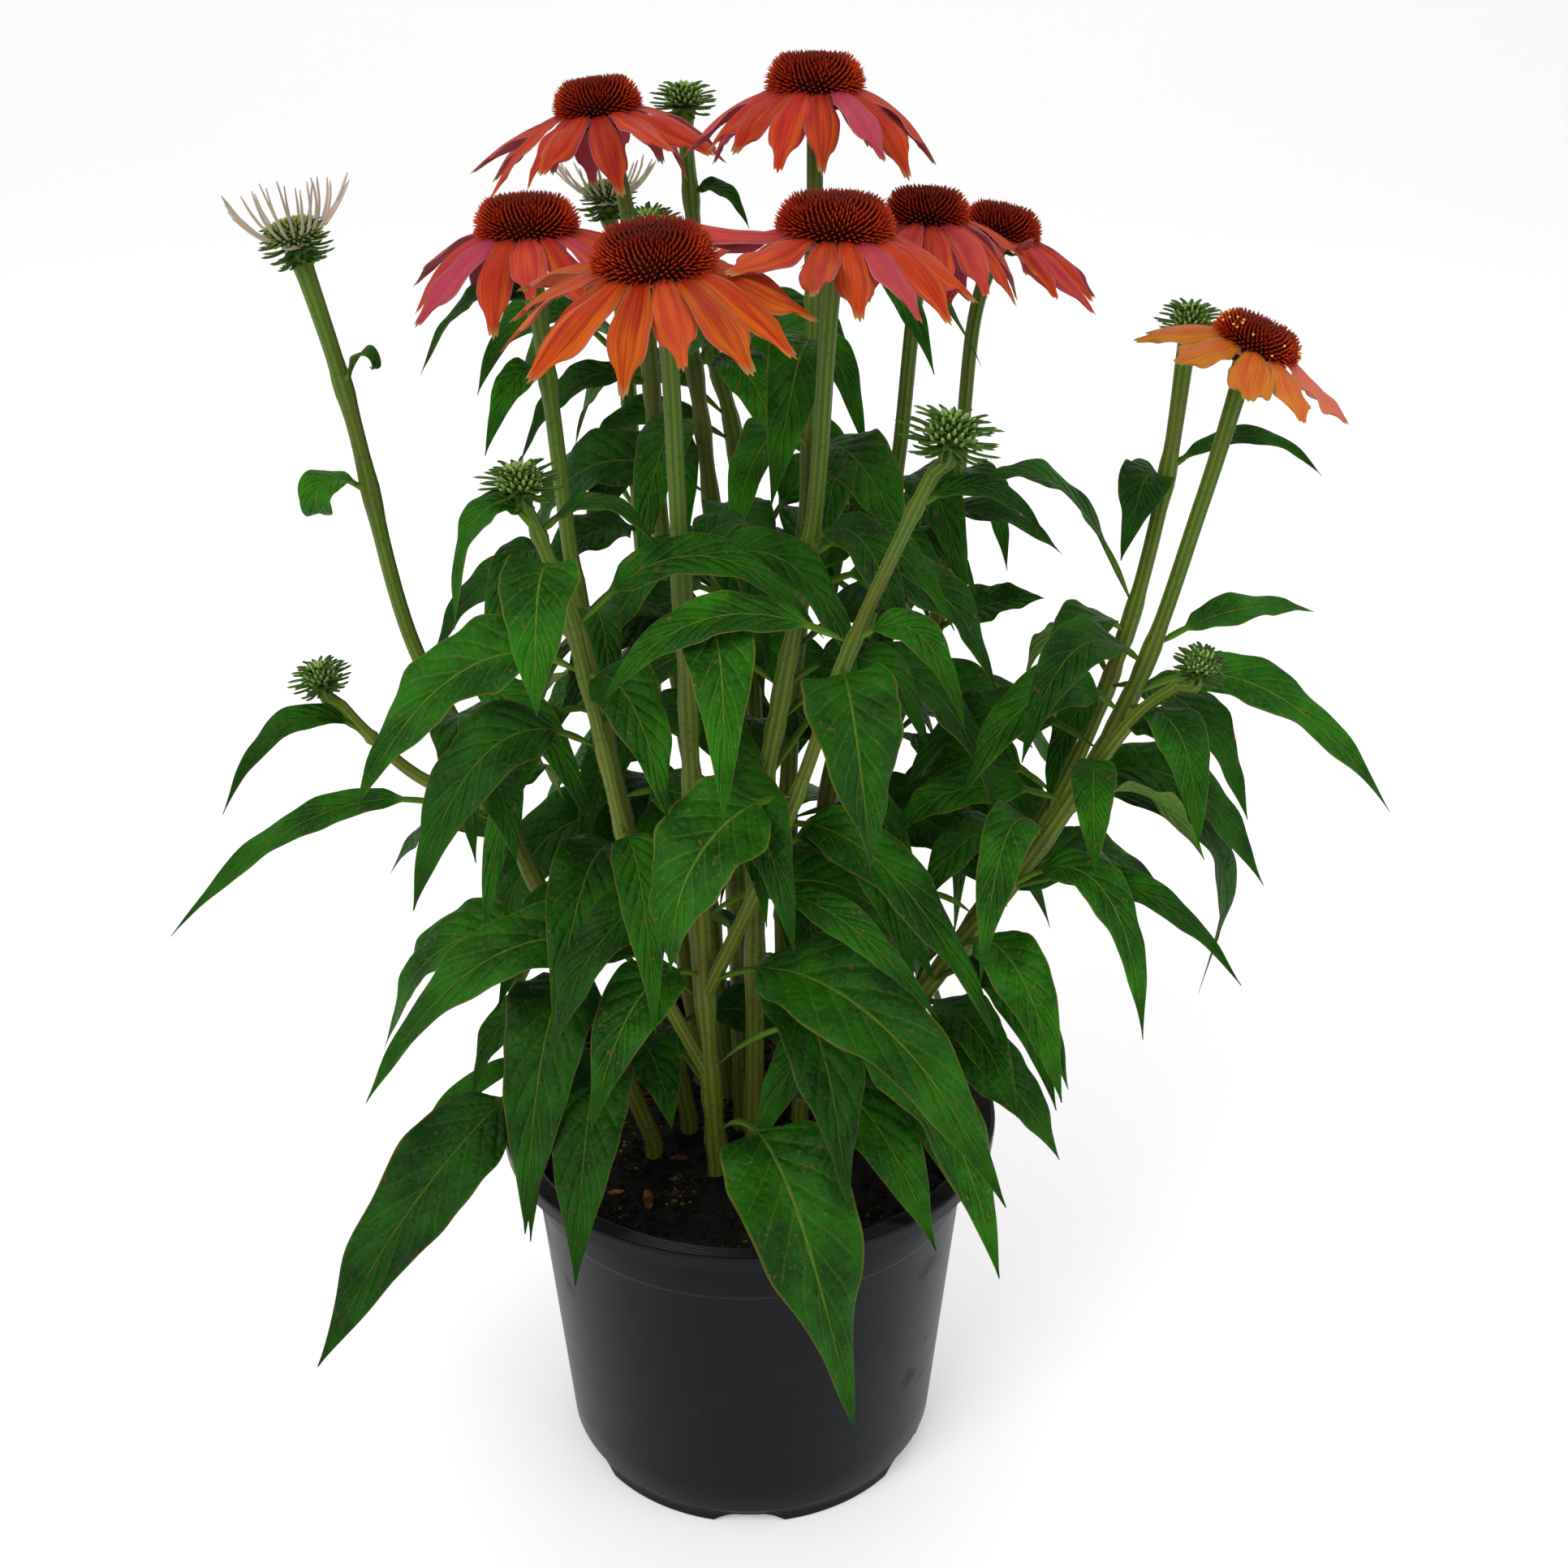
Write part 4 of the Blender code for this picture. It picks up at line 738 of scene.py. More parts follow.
class Garden:
    """Settles every leaf and petal before anything is built, as the solids do."""

    def __init__(self) -> None:
        """Stand the pot, the soil, the stems and the heads."""
        self.garden = Clearance()
        self.blades = Clearance()
        self.garden.add("pot", rim_guard())
        soil = [Vector((0, 0.0001 * k, SOIL_TOP + 0.002 * k)) for k in range(2)]
        self.garden.add("soil_top", tube(soil, [0.085, 0.085], 24))
        for name in STEMS:
            points, radii = stem_line(name)
            top = len(points) - 1
            points = [p for p in points if p.z > SOIL_TOP]
            radii = [r + CLEARANCE / 4 for r in radii[top + 1 - len(points):]]
            self.garden.add(owner(name), tube(points, radii))
            self.blades.add("stem", tube(points, [STEM_MID_RADIUS / 2] * len(points)))
        for bloom in BLOOMS:
            foot, axis = head_place(bloom.stem)
            top = foot + (bloom.cone_height + 0.006) * axis
            self.garden.add("petals_" + bloom.stem, tube([foot, top], [bloom.cone_radius] * 2, 8))
        for bud in BUDS:
            foot, axis = stem_top(bud.stem)
            ends = [foot - 0.004 * axis, foot + bud.height * axis]
            self.garden.add(owner(bud.stem), tube(ends, [bud.bract_reach] * 2, 8))
        self.droops = {bloom.stem: self.choose_petals(bloom) for bloom in BLOOMS}
        wanted = FRONT_LEAVES + tuple(filling_leaves()) + tuple(inner_leaves())
        self.leaves = [leaf for leaf in map(self.choose_leaf, wanted) if leaf is not None]

    def choose_leaf(self, leaf: Leaf) -> Leaf | None:
        """Return a leaf turned or lifted clear of other nodes and blades, or None."""
        node = owner(leaf.stem)
        for lift in LIFTS:
            for turn in TURNS:
                moved = replace(leaf, azimuth=leaf.azimuth + turn, rise=leaf.rise + lift,
                                drop=leaf.drop + lift)
                rows = leaf_rows(moved, blade_steps(moved))
                shell = ribbon(rows, CLEARANCE)
                blade = ribbon(rows[1:], CLEARANCE / 2)
                if self.garden.is_clear(node, shell) and self.blades.is_clear("", blade):
                    self.garden.add(node, shell)
                    self.blades.add("blade", blade)
                    return moved
        return None

    def choose_petals(self, bloom: Bloom) -> list[float | None]:
        """Return each petal's extra droop that is clear of its neighbours, or None."""
        droops = []
        for index in range(bloom.petal_count):
            for extra in [crowding(bloom, index) + change for change in PETAL_DROOPS]:
                shell = petal_guard(bloom, index, extra)
                if self.garden.is_clear("petals_" + bloom.stem, shell):
                    self.garden.add("petals_" + bloom.stem, shell)
                    droops.append(extra)
                    break
            else:
                droops.append(None)
        return droops


@dataclass(frozen=True)
class Wire:
    """One socket's value in a shader, on which maths is written as Python expressions."""

    maker: "Maker"
    socket: bpy.types.NodeSocket

    def maths(self, operation: str, *values: "Wire | float") -> "Wire":
        """Add a Math node on some values and return its result."""
        return self.maker.node("ShaderNodeMath", {"operation": operation}, dict(enumerate(values)))

    def __add__(self, other: "Wire | float") -> "Wire":
        """Return this value plus another."""
        return self.maths("ADD", self, other)

    __radd__ = __add__

    def __sub__(self, other: "Wire | float") -> "Wire":
        """Return this value less another."""
        return self.maths("SUBTRACT", self, other)

    def __rsub__(self, other: "Wire | float") -> "Wire":
        """Return another value less this one."""
        return self.maths("SUBTRACT", other, self)

    def __mul__(self, other: "Wire | float") -> "Wire":
        """Return this value times another."""
        return self.maths("MULTIPLY", self, other)

    __rmul__ = __mul__

    def __pow__(self, other: "Wire | float") -> "Wire":
        """Return this value to a power."""
        return self.maths("POWER", self, other)

    def size(self) -> "Wire":
        """Return this value without its sign."""
        return self.maths("ABSOLUTE", self)

    def wave(self) -> "Wire":
        """Return the sine of this value."""
        return self.maths("SINE", self)

    def fold(self, scale: float) -> "Wire":
        """Return this value going up to a scale and back down again."""
        return self.maths("PINGPONG", self, scale)

    def rise(self, low: float, high: float) -> "Wire":
        """Return 0 below one value and 1 above another, with a smooth step between."""
        settings = {"interpolation_type": "SMOOTHSTEP"}
        return self.maker.node("ShaderNodeMapRange", settings, {0: self, 1: low, 2: high})


class Maker:
    """A material in the making, with the nodes that its finish adds."""

    def __init__(self, name: str) -> None:
        """Start a material from its plain shader."""
        self.material = bpy.data.materials.new(name)
        self.material.use_nodes = True
        self.tree = self.material.node_tree
        self.shader = self.tree.nodes["Principled BSDF"]

    def node(self, kind: str, settings: dict | None = None,
             sockets: dict[int | str, object] | None = None, output: int | str = 0) -> Wire:
        """Add a node.

        Args:
            kind: The node's type.
            settings: Its own settings, or a ramp's stops.
            sockets: What each input socket holds or is linked to.
            output: The output socket that is wanted.

        Returns:
            That output.
        """
        made = self.tree.nodes.new(kind)
        for name, value in (settings or {}).items():
            if name == "stops":
                self.set_stops(made.color_ramp, value)
            else:
                setattr(made, name, value)
        for name, value in (sockets or {}).items():
            self.plug(made.inputs[name], value)
        return Wire(self, made.outputs[output])

    def set_stops(self, ramp: bpy.types.ColorRamp, stops: Sequence[tuple]) -> None:
        """Give a ramp its stops, each a place and a colour."""
        while len(ramp.elements) < len(stops):
            ramp.elements.new(1.0)
        for element, (place, colour) in zip(ramp.elements, stops):
            element.position = place
            element.color = (*colour, 1)

    def plug(self, socket: bpy.types.NodeSocket, value: object) -> None:
        """Link a wire to a socket, or set the socket's own value."""
        if isinstance(value, Wire):
            self.tree.links.new(value.socket, socket)
        elif isinstance(value, tuple) and socket.type == "RGBA":
            socket.default_value = (*value, 1)
        else:
            socket.default_value = value

    def place(self) -> Wire:
        """Return the object's own coordinates."""
        return self.node("ShaderNodeTexCoord", output="Object")

    def height(self) -> Wire:
        """Return the height above the ground."""
        return self.node("ShaderNodeSeparateXYZ", sockets={0: self.place()}, output=2)

    def round_and_along(self) -> tuple[Wire, Wire]:
        """Return how far round a skin and how far along it a point lies, each from 0 to 1."""
        skin = self.node("ShaderNodeUVMap", {"uv_map": SKIN_MAP})
        split = self.node("ShaderNodeSeparateXYZ", sockets={0: skin})
        return split, Wire(self, split.socket.node.outputs[1])

    def number(self, name: str) -> Wire:
        """Return a number that is kept on the mesh's points."""
        return self.node("ShaderNodeAttribute", {"attribute_name": name}, output="Fac")

    def vector(self, x: Wire | float, y: Wire | float, z: Wire | float = 0.0) -> Wire:
        """Return a vector of three values."""
        return self.node("ShaderNodeCombineXYZ", sockets={0: x, 1: y, 2: z})

    def clouds(self, scale: float, detail: float = 2.0, at: Wire | None = None) -> Wire:
        """Return smooth noise from about 0.3 to 0.7."""
        sockets = {"Vector": at or self.place(), "Scale": scale, "Detail": detail}
        return self.node("ShaderNodeTexNoise", sockets=sockets)

    def cells(self, scale: float, at: Wire | None = None) -> Wire:
        """Return the distance to the edge of small cells."""
        sockets = {"Vector": at or self.place(), "Scale": scale}
        return self.node("ShaderNodeTexVoronoi", {"feature": "DISTANCE_TO_EDGE"}, sockets)

    def mix(self, factor: Wire | float, first: object, second: object) -> Wire:
        """Return a colour between two others."""
        sockets = {0: factor, 6: first, 7: second}
        return self.node("ShaderNodeMix", {"data_type": "RGBA"}, sockets, output=2)

    def layers(self, colour: Wire | tuple, *coats: tuple[Wire, Wire | tuple]) -> Wire:
        """Return a colour under some coats, each a factor and a colour."""
        for factor, coat in coats:
            colour = self.mix(factor, colour, coat)
        return colour

    def shade(self, colour: Wire, factor: Wire | float) -> Wire:
        """Return a colour made brighter or darker by a factor."""
        sockets = {0: colour, "Scale": factor}
        return self.node("ShaderNodeVectorMath", {"operation": "SCALE"}, sockets)

    def bump(self, height: Wire, strength: float, distance: float) -> Wire:
        """Return a normal raised by a height."""
        sockets = {"Strength": strength, "Distance": distance, "Height": height}
        return self.node("ShaderNodeBump", sockets=sockets)

    def finish(self, colour: Wire, roughness: Wire | float, normal: Wire | None = None,
               shine: float = 0.5) -> Material:
        """Link the finished values to the shader and return the material."""
        self.plug(self.shader.inputs["Base Color"], colour)
        self.plug(self.shader.inputs["Roughness"], roughness)
        self.plug(self.shader.inputs["Specular IOR Level"], shine)
        if normal is not None:
            self.plug(self.shader.inputs["Normal"], normal)
        return self.material


def across_blade(maker: Maker) -> tuple[Wire, Wire, Wire]:
    """Return a point's distance from the midrib, its share along, and 1 if it is underneath."""
    around, along = maker.round_and_along()
    column = ((around * 2).fold(1.0) * 2 - 1).size()
    sideways = (column * (math.pi / 2)).wave()
    return sideways, along, around.rise(0.49, 0.51)


@dataclass(frozen=True)
class LeafFinish:
    """Deep green blade with paler branching veins, a thin dry edge and a greyer underside."""

    deep: tuple = (0.0022, 0.030, 0.0005)
    bright: tuple = (0.0165, 0.128, 0.0012)
    vein: tuple = (0.095, 0.185, 0.014)
    edge: tuple = (0.140, 0.115, 0.020)
    underside: tuple = (0.052, 0.120, 0.020)
    speck: tuple = (0.12, 0.075, 0.02)
    vein_pairs: float = 8.0

    def material(self) -> Material:
        """Make the material."""
        maker = Maker("leaf_green")
        sideways, along, under = across_blade(maker)
        blade = along.rise(PETIOLE_SHARE, PETIOLE_SHARE + 0.04)
        rib = 1 - sideways.rise(0.015, 0.055)
        course = along * self.vein_pairs * 1.25 - (sideways ** 0.8) * VEIN_SLANT
        fine = (maker.clouds(90) - 0.5) * 0.16
        branch = (1 - ((course + fine).fold(0.5)).rise(0.0, 0.085)) * (1 - sideways.rise(0.7, 0.97))
        net = 1 - maker.cells(420).rise(0.0, 0.12)
        pale = maker.layers(self.underside, (maker.clouds(60), self.vein),
                            ((branch + rib) * 0.35, self.vein))
        body = maker.layers(
            self.deep, (maker.clouds(55, 4).rise(0.28, 0.74) * 0.8 + 0.1, self.bright),
            (net * 0.10, self.vein),
            (rib.maths("MAXIMUM", branch * 0.24, rib * 0.8), self.vein),
            (sideways.rise(0.93, 1.0) * 0.55 * blade, self.edge),
            (maker.clouds(420, 1).rise(0.69, 0.73) * 0.6, self.speck),
            (under, pale), ((1 - blade) * 0.75, self.vein))
        body = maker.shade(body, maker.number("tone") * 0.75 + 1.0)
        quilt = (course + fine).fold(0.5).rise(0.0, 0.42) * (1 - sideways.rise(0.6, 1.0))
        height = quilt * 0.6 + maker.cells(260).rise(0.0, 0.45) * 0.4 - rib * 0.5
        rough = maker.clouds(200) * 0.2 + 0.40 + under * 0.2
        return maker.finish(body, rough, maker.bump(height, 0.75, 0.0015), 0.10)


@dataclass(frozen=True)
class StemFinish:
    """Ridged green stem with painted shade in its furrows, painted highlight on its ridges, olive near
    its foot and bronze in places.
    """

    green: tuple = (0.115, 0.185, 0.010)
    # Painted shade: the dark green laid in the furrows, also used for small dark flecks
    furrow_shade: tuple = (0.030, 0.078, 0.004)
    bronze: tuple = (0.120, 0.090, 0.015)
    olive: tuple = (0.215, 0.225, 0.024)

    def material(self) -> Material:
        """Make the material."""
        maker = Maker("stem_green")
        around, along = maker.round_and_along()
        ridge = ((around * (math.tau * STEM_RIDGES)).wave() * 0.5 + 0.5)
        tone = maker.number("tone")
        streak = maker.clouds(1.0, 3, maker.vector(around * 46, along * 9, tone * 9))
        low = 1 - maker.height().rise(0.20, 0.42)
        # The ridges are painted lighter and the furrows darker, as painted highlight and painted shade
        body = maker.layers(
            self.furrow_shade, (ridge.rise(0.1, 0.9) * 0.50 + streak * 0.45, self.green),
            (low * (ridge * 0.5 + 0.2), self.olive),
            (maker.clouds(30, 3).rise(0.50, 0.72) * 0.55, self.bronze),
            (maker.clouds(500, 1).rise(0.62, 0.68) * 0.5, self.furrow_shade))
        body = maker.shade(body, tone * 0.4 + 1.0)
        relief = maker.bump(ridge * 0.7 + maker.clouds(700) * 0.3, 0.4, 0.0006)
        return maker.finish(body, maker.clouds(220) * 0.2 + 0.42, relief, 0.22)


@dataclass(frozen=True)
class PetalFinish:
    """Veined petal, darker and redder at its root, partly its own colour and partly painted shade, with
    painted shade in its furrows, pink edges and a paler, pinker back.
    """

    name: str
    root: tuple = (0.20, 0.007, 0.004)
    body: tuple = (0.44, 0.020, 0.006)
    warm: tuple = (0.62, 0.080, 0.006)
    edge: tuple = (0.31, 0.038, 0.085)
    back: tuple = (0.36, 0.045, 0.062)
    tip: tuple = (0.42, 0.27, 0.09)
    rim: tuple = (0.60, 0.22, 0.20)
    blush: tuple = (0.31, 0.038, 0.085)
    rough: float = 0.5

    def material(self) -> Material:
        """Make the material."""
        maker = Maker("petal_" + self.name)
        around, along = maker.round_and_along()
        sideways, _, under = across_blade(maker)
        tone = maker.number("tone")
        lines = maker.clouds(1.0, 2, maker.vector(around * 96, along * 1.5, tone * 20))
        broad = maker.clouds(1.0, 2, maker.vector(around * 9, along * 2.2, tone * 31))
        flanks = sideways.rise(0.15, 0.75) * 0.55 + along.rise(0.35, 1.0) * 0.35
        # Painted shade: a darker stripe along each furrow of the face, fading out towards the tip
        furrow_shade = sideways.rise(0.18, 0.38) - sideways.rise(0.40, 0.62)
        behind = maker.mix(lines.rise(0.35, 0.65) * 0.5, self.back, self.edge)
        ends = along.rise(0.90, 1.0) * (tone * -2.2 + 0.5).rise(0.0, 1.0)
        colour = maker.layers(
            self.body, ((broad - 0.5) * 2.2 + flanks, self.warm),
            # Darker towards the root: partly the petal's own deeper red, partly painted shade where it
            # meets the disc
            ((1 - along.rise(0.0, 0.30)) * 0.75, self.root),
            (lines.rise(0.42, 0.68) * 0.60, self.root),
            # Painted shade along the furrows
            (furrow_shade * (1 - along.rise(0.55, 1.0)) * 0.35, self.root),
            (sideways.rise(0.70, 1.0) * 0.5, self.edge),
            ((tone * 3.0 - 0.55).rise(0.0, 1.0) * 0.75, self.blush),
            (under * 0.85, behind), (sideways.rise(0.93, 0.99) * 0.4, self.rim),
            (ends * 0.6 + along.rise(0.965, 1.0) * 0.35, self.tip))
        colour = maker.shade(colour, tone * 0.35 + 1.0)
        height = lines * 0.8 + broad * 0.2
        rough = maker.clouds(300) * 0.15 + self.rough
        return maker.finish(colour, rough, maker.bump(height, 0.7, 0.0006), 0.12)


@dataclass(frozen=True)
class SpineFinish:
    """Stiff scale that is dark at its root and bright at its point, and duller on the crown."""

    name: str
    root: tuple
    middle: tuple
    point: tuple
    crown: tuple = ()

    def material(self) -> Material:
        """Make the material."""
        maker = Maker("spine_" + self.name)
        along = maker.number("along")
        patch = maker.clouds(70, 2).rise(0.35, 0.7)
        colour = maker.layers(self.root, (along.rise(0.05, 0.55), self.middle),
                              (along.rise(0.5, 1.0) * (patch * 0.7 + 0.3), self.point))
        if self.crown:
            crown = maker.mix(along.rise(0.0, 0.7), self.root, self.crown)
            colour = maker.mix(maker.number("tone").rise(0.05, 0.60), crown, colour)
        colour = maker.shade(colour, maker.clouds(900, 1) * 0.8 + 0.6)
        grain = maker.bump(maker.clouds(1500, 1), 0.2, 0.0003)
        return maker.finish(colour, maker.clouds(400) * 0.2 + 0.5, grain, 0.15)


@dataclass(frozen=True)
class PlasticFinish:
    """Charcoal moulded plastic with faint rings, scuffs and a little dust."""

    base: tuple = (0.0016, 0.0030, 0.0038)
    dust: tuple = (0.011, 0.014, 0.016)

    def material(self) -> Material:
        """Make the material."""
        maker = Maker("pot_plastic")
        height_up = maker.height()
        rings = maker.clouds(1.0, 2, maker.vector(0.5, 0.5, height_up * 420))
        scuff = maker.clouds(55, 6).rise(0.58, 0.76)
        grain = maker.clouds(1600, 2)
        colour = maker.layers(
            self.base, (scuff * 0.35, self.dust), (height_up.rise(0.132, 0.147) * 0.25, self.dust),
            ((1 - height_up.rise(0.0, 0.02)) * maker.clouds(120, 4) * 0.5, self.dust))
        rough = scuff * 0.16 + rings * 0.1 + 0.30
        height = grain * 0.5 + rings * 0.5
        return maker.finish(colour, rough, maker.bump(height, 0.25, 0.0003), 0.12)


@dataclass(frozen=True)
class GroundFinish:
    """Damp crumbly matter that is mottled between two colours."""

    name: str
    dark: tuple
    light: tuple
    spread: float = 260

    def material(self) -> Material:
        """Make the material."""
        maker = Maker(self.name)
        grain = maker.clouds(self.spread, 5)
        colour = maker.layers(self.dark, (grain.rise(0.38, 0.72), self.light),
                              (maker.cells(self.spread * 3).rise(0.0, 0.1) * 0.3, self.dark))
        height = maker.clouds(self.spread * 2.5, 6)
        return maker.finish(colour, grain * 0.3 + 0.62, maker.bump(height, 0.9, 0.0012), 0.15)


@dataclass(frozen=True)
class FloorFinish:
    """Plain pale paper."""

    light: tuple = (0.92, 0.92, 0.92)
    shade: tuple = (0.90, 0.90, 0.90)
    glow: float = 0.26

    def material(self) -> Material:
        """Make the material."""
        maker = Maker("pale_floor")
        maker.plug(maker.shader.inputs["Emission Color"], self.light)
        maker.plug(maker.shader.inputs["Emission Strength"], self.glow)
        return maker.finish(maker.mix(maker.clouds(3), self.light, self.shade), 0.9, None, 0.1)


RED_PETALS = PetalFinish("red")
ORANGE_PETALS = PetalFinish("orange", root=(0.22, 0.008, 0.002), body=(0.47, 0.036, 0.003),
                            warm=(0.70, 0.145, 0.004), edge=(0.42, 0.070, 0.022),
                            back=(0.48, 0.085, 0.035), blush=(0.42, 0.060, 0.030))
CORAL_PETALS = PetalFinish("coral", root=(0.24, 0.008, 0.004), body=(0.48, 0.027, 0.006),
                           warm=(0.66, 0.100, 0.006), edge=(0.34, 0.045, 0.08))
YELLOW_PETALS = PetalFinish("yellow", root=(0.40, 0.060, 0.005), body=(0.58, 0.125, 0.014),
                            warm=(0.62, 0.215, 0.010), edge=(0.46, 0.220, 0.018),
                            back=(0.50, 0.200, 0.060), tip=(0.24, 0.27, 0.03),
                            blush=(0.50, 0.110, 0.090))
YOUNG_PETALS = PetalFinish("young", root=(0.28, 0.36, 0.12), body=(0.60, 0.52, 0.38),
                           warm=(0.70, 0.60, 0.48), edge=(0.60, 0.40, 0.38),
                           back=(0.52, 0.50, 0.34), tip=(0.42, 0.30, 0.20),
                           rim=(0.62, 0.46, 0.40), blush=(0.60, 0.42, 0.40), rough=0.6)
RUST_SPINES = SpineFinish("rust", (0.008, 0.001, 0.0005), (0.300, 0.013, 0.001),
                          (0.66, 0.075, 0.005), (0.170, 0.012, 0.0015))
POLLEN = SpineFinish("pollen", (0.50, 0.28, 0.02), (0.70, 0.45, 0.03), (0.80, 0.58, 0.06))
GREEN_SPINES = SpineFinish("green", (0.03, 0.07, 0.01), (0.17, 0.31, 0.05), (0.46, 0.54, 0.22))
YOUNG_SPINES = SpineFinish("young", (0.04, 0.07, 0.01), (0.20, 0.27, 0.05), (0.42, 0.36, 0.16))
DARK_BODY = GroundFinish("cone_core", (0.010, 0.003, 0.002), (0.055, 0.008, 0.004), 400)
YOUNG_BODY = GroundFinish("young_core", (0.020, 0.050, 0.008), (0.060, 0.110, 0.020), 400)
HAIR = SpineFinish("hair", (0.25, 0.32, 0.12), (0.45, 0.50, 0.32), (0.60, 0.62, 0.48))
BRACT_LEAVES = LeafFinish(deep=(0.030, 0.105, 0.014), bright=(0.075, 0.200, 0.028))
SOIL = GroundFinish("potting_soil", (0.0026, 0.0021, 0.0015), (0.014, 0.0105, 0.0070))
MOSS = GroundFinish("moss", (0.050, 0.062, 0.006), (0.30, 0.29, 0.035), 500)
BARK = GroundFinish("bark", (0.060, 0.020, 0.007), (0.42, 0.130, 0.030), 220)


def start_fresh() -> None:
    """Leave edit mode and deselect everything."""
    if bpy.context.object is not None and bpy.context.object.mode != "OBJECT":
        bpy.ops.object.mode_set(mode="OBJECT")
    bpy.ops.object.select_all(action="DESELECT")


@contextmanager
def editing() -> Iterator[Item]:
    """Edit the whole mesh of the active object, and leave edit mode again."""
    bpy.ops.object.mode_set(mode="EDIT")
    bpy.ops.mesh.select_all(action="SELECT")
    yield bpy.context.object
    bpy.ops.object.mode_set(mode="OBJECT")


def use_only(item: Item) -> None:
    """Select one object alone and make it active."""
    start_fresh()
    item.select_set(True)
    bpy.context.view_layer.objects.active = item


def new_object(name: str, mesh: Mesh) -> Item:
    """Add an object for a mesh to the scene."""
    item = bpy.data.objects.new(name, mesh)
    bpy.context.scene.collection.objects.link(item)
    return item


def shade_round(item: Item, angle: float = 50) -> None:
    """Shade an object smooth, apart from edges sharper than an angle in degrees."""
    use_only(item)
    bpy.ops.object.shade_smooth_by_angle(angle=math.radians(angle))


def turned(name: str, profile: Sequence[tuple[float, float]], sides: int) -> Item:
    """Draw a circle up along a profile, as on a lathe.

    Args:
        name: The object's name.
        profile: The radius and height of each ring. A radius of 0 closes an end.
        sides: How many sides the circle has.

    Returns:
        The object, built round +Z.
    """
    start_fresh()
    rings = [(max(radius, POLE_RADIUS), height) for radius, height in profile]
    bpy.ops.mesh.primitive_circle_add(vertices=sides, radius=rings[0][0])
    with editing() as item:
        item.name = name
        bpy.ops.transform.translate(value=(0, 0, rings[0][1]))
        for (radius, height), (wider, higher) in zip(rings, rings[1:]):
            move = {"value": (0, 0, higher - height)}
            bpy.ops.mesh.extrude_region_move(TRANSFORM_OT_translate=move)
            scale = wider / radius
            bpy.ops.transform.resize(value=(scale, scale, 1), center_override=(0, 0, higher))
        bpy.ops.mesh.select_all(action="SELECT")
        bpy.ops.mesh.remove_doubles(threshold=4 * POLE_RADIUS)
        bpy.ops.mesh.select_all(action="SELECT")
        bpy.ops.mesh.normals_make_consistent(inside=False)
    return item


def turned_mesh(profile: Sequence[tuple[float, float]], sides: int) -> Mesh:
    """Turn a small thing that is scattered, and return its mesh alone."""
    return mesh_alone(turned("model", profile, sides))


def mesh_alone(item: Item) -> Mesh:
    """Return a copy of an object's mesh and remove the object."""
    mesh = item.data.copy()
    bpy.data.objects.remove(item, do_unlink=True)
    return mesh


def pick_edges(item: Item, wanted: Callable[[Vector, Vector], bool]) -> None:
    """Select those edges of the active object whose two ends suit a rule."""
    with editing():
        bpy.ops.mesh.select_all(action="DESELECT")
    for edge in item.data.edges:
        edge.select = wanted(*(item.data.vertices[k].co for k in edge.vertices))


def bevel(item: Item, wanted: Callable[[Vector, Vector], bool], offset: float,
          segments: int) -> None:
    """Round those edges of the active object whose two ends suit a rule."""
    pick_edges(item, wanted)
    bpy.ops.object.mode_set(mode="EDIT")
    bpy.ops.mesh.select_mode(type="EDGE")
    bpy.ops.mesh.bevel(offset=offset, segments=segments, affect="EDGES")
    bpy.ops.object.mode_set(mode="OBJECT")


def move_points(mesh: Mesh, change: Callable[[Vector], Vector]) -> None:
    """Move each point of a mesh to where a rule puts it."""
    for vertex in mesh.vertices:
        vertex.co = change(vertex.co)


def set_numbers(mesh: Mesh, name: str, values: np.ndarray) -> None:
    """Keep a number on each of a mesh's points."""
    attribute = mesh.attributes.new(name, "FLOAT", "POINT")
    attribute.data.foreach_set("value", np.asarray(values, dtype=np.float32))


def points_of(mesh: Mesh) -> np.ndarray:
    """Return a mesh's points as rows of three."""
    points = np.empty(len(mesh.vertices) * 3)
    mesh.vertices.foreach_get("co", points)
    return points.reshape(-1, 3)


def join(name: str, items: Sequence[Item], weld: float = 1e-6) -> Item:
    """Join objects into one and close their seams and poles.

    Args:
        name: The joined object's name.
        items: The objects.
        weld: How near points are that become one, or 0 to leave them.

    Returns:
        The joined object.
    """
    start_fresh()
    for item in items:
        item.select_set(True)
    bpy.context.view_layer.objects.active = items[0]
    bpy.ops.object.join()
    joined = bpy.context.object
    joined.name = name
    if weld:
        with editing():
            bpy.ops.mesh.remove_doubles(threshold=weld)
    return joined


def declare(piece: Item, node: str = "") -> None:
    """Let a piece ride on the part, and stand for a node of the frame if one is named."""
    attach(piece, "root")
    if node:
        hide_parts(node)
    LOG.info("%s: %d faces", piece.name, len(piece.data.polygons))


def scatter(name: str, model: Mesh, places: Sequence[Matrix],
            material: Material, tones: Sequence[float] = ()) -> Item:
    """Copy a small model to many places within one mesh.

    Args:
        name: The object's name.
        model: The model, which stands on the origin along +Z.
        places: Where each copy goes.
        material: What it is made of.
        tones: A number for each copy, kept as "tone".

    Returns:
        The object, with each point's height in the model kept as "along".
    """
    corners = np.c_[points_of(model), np.ones(len(model.vertices))]
    stacked = np.array([list(map(list, place)) for place in places])
    points = np.einsum("nij,vj->nvi", stacked, corners)[:, :, :3].reshape(-1, 3)
    count = len(model.vertices)
    faces = [tuple(face.vertices) for face in model.polygons]
    every = [tuple(k * count + corner for corner in face) for k in range(len(places))
             for face in faces]
    mesh = bpy.data.meshes.new(name)
    mesh.from_pydata(points.tolist(), [], every)
    high = corners[:, 2].max() - corners[:, 2].min()
    set_numbers(mesh, "along", np.tile((corners[:, 2] - corners[:, 2].min()) / high, len(places)))
    if len(tones):
        set_numbers(mesh, "tone", np.repeat(tones, count))
    mesh.materials.append(material)
    item = new_object(name, mesh)
    mesh.shade_smooth()
    return item


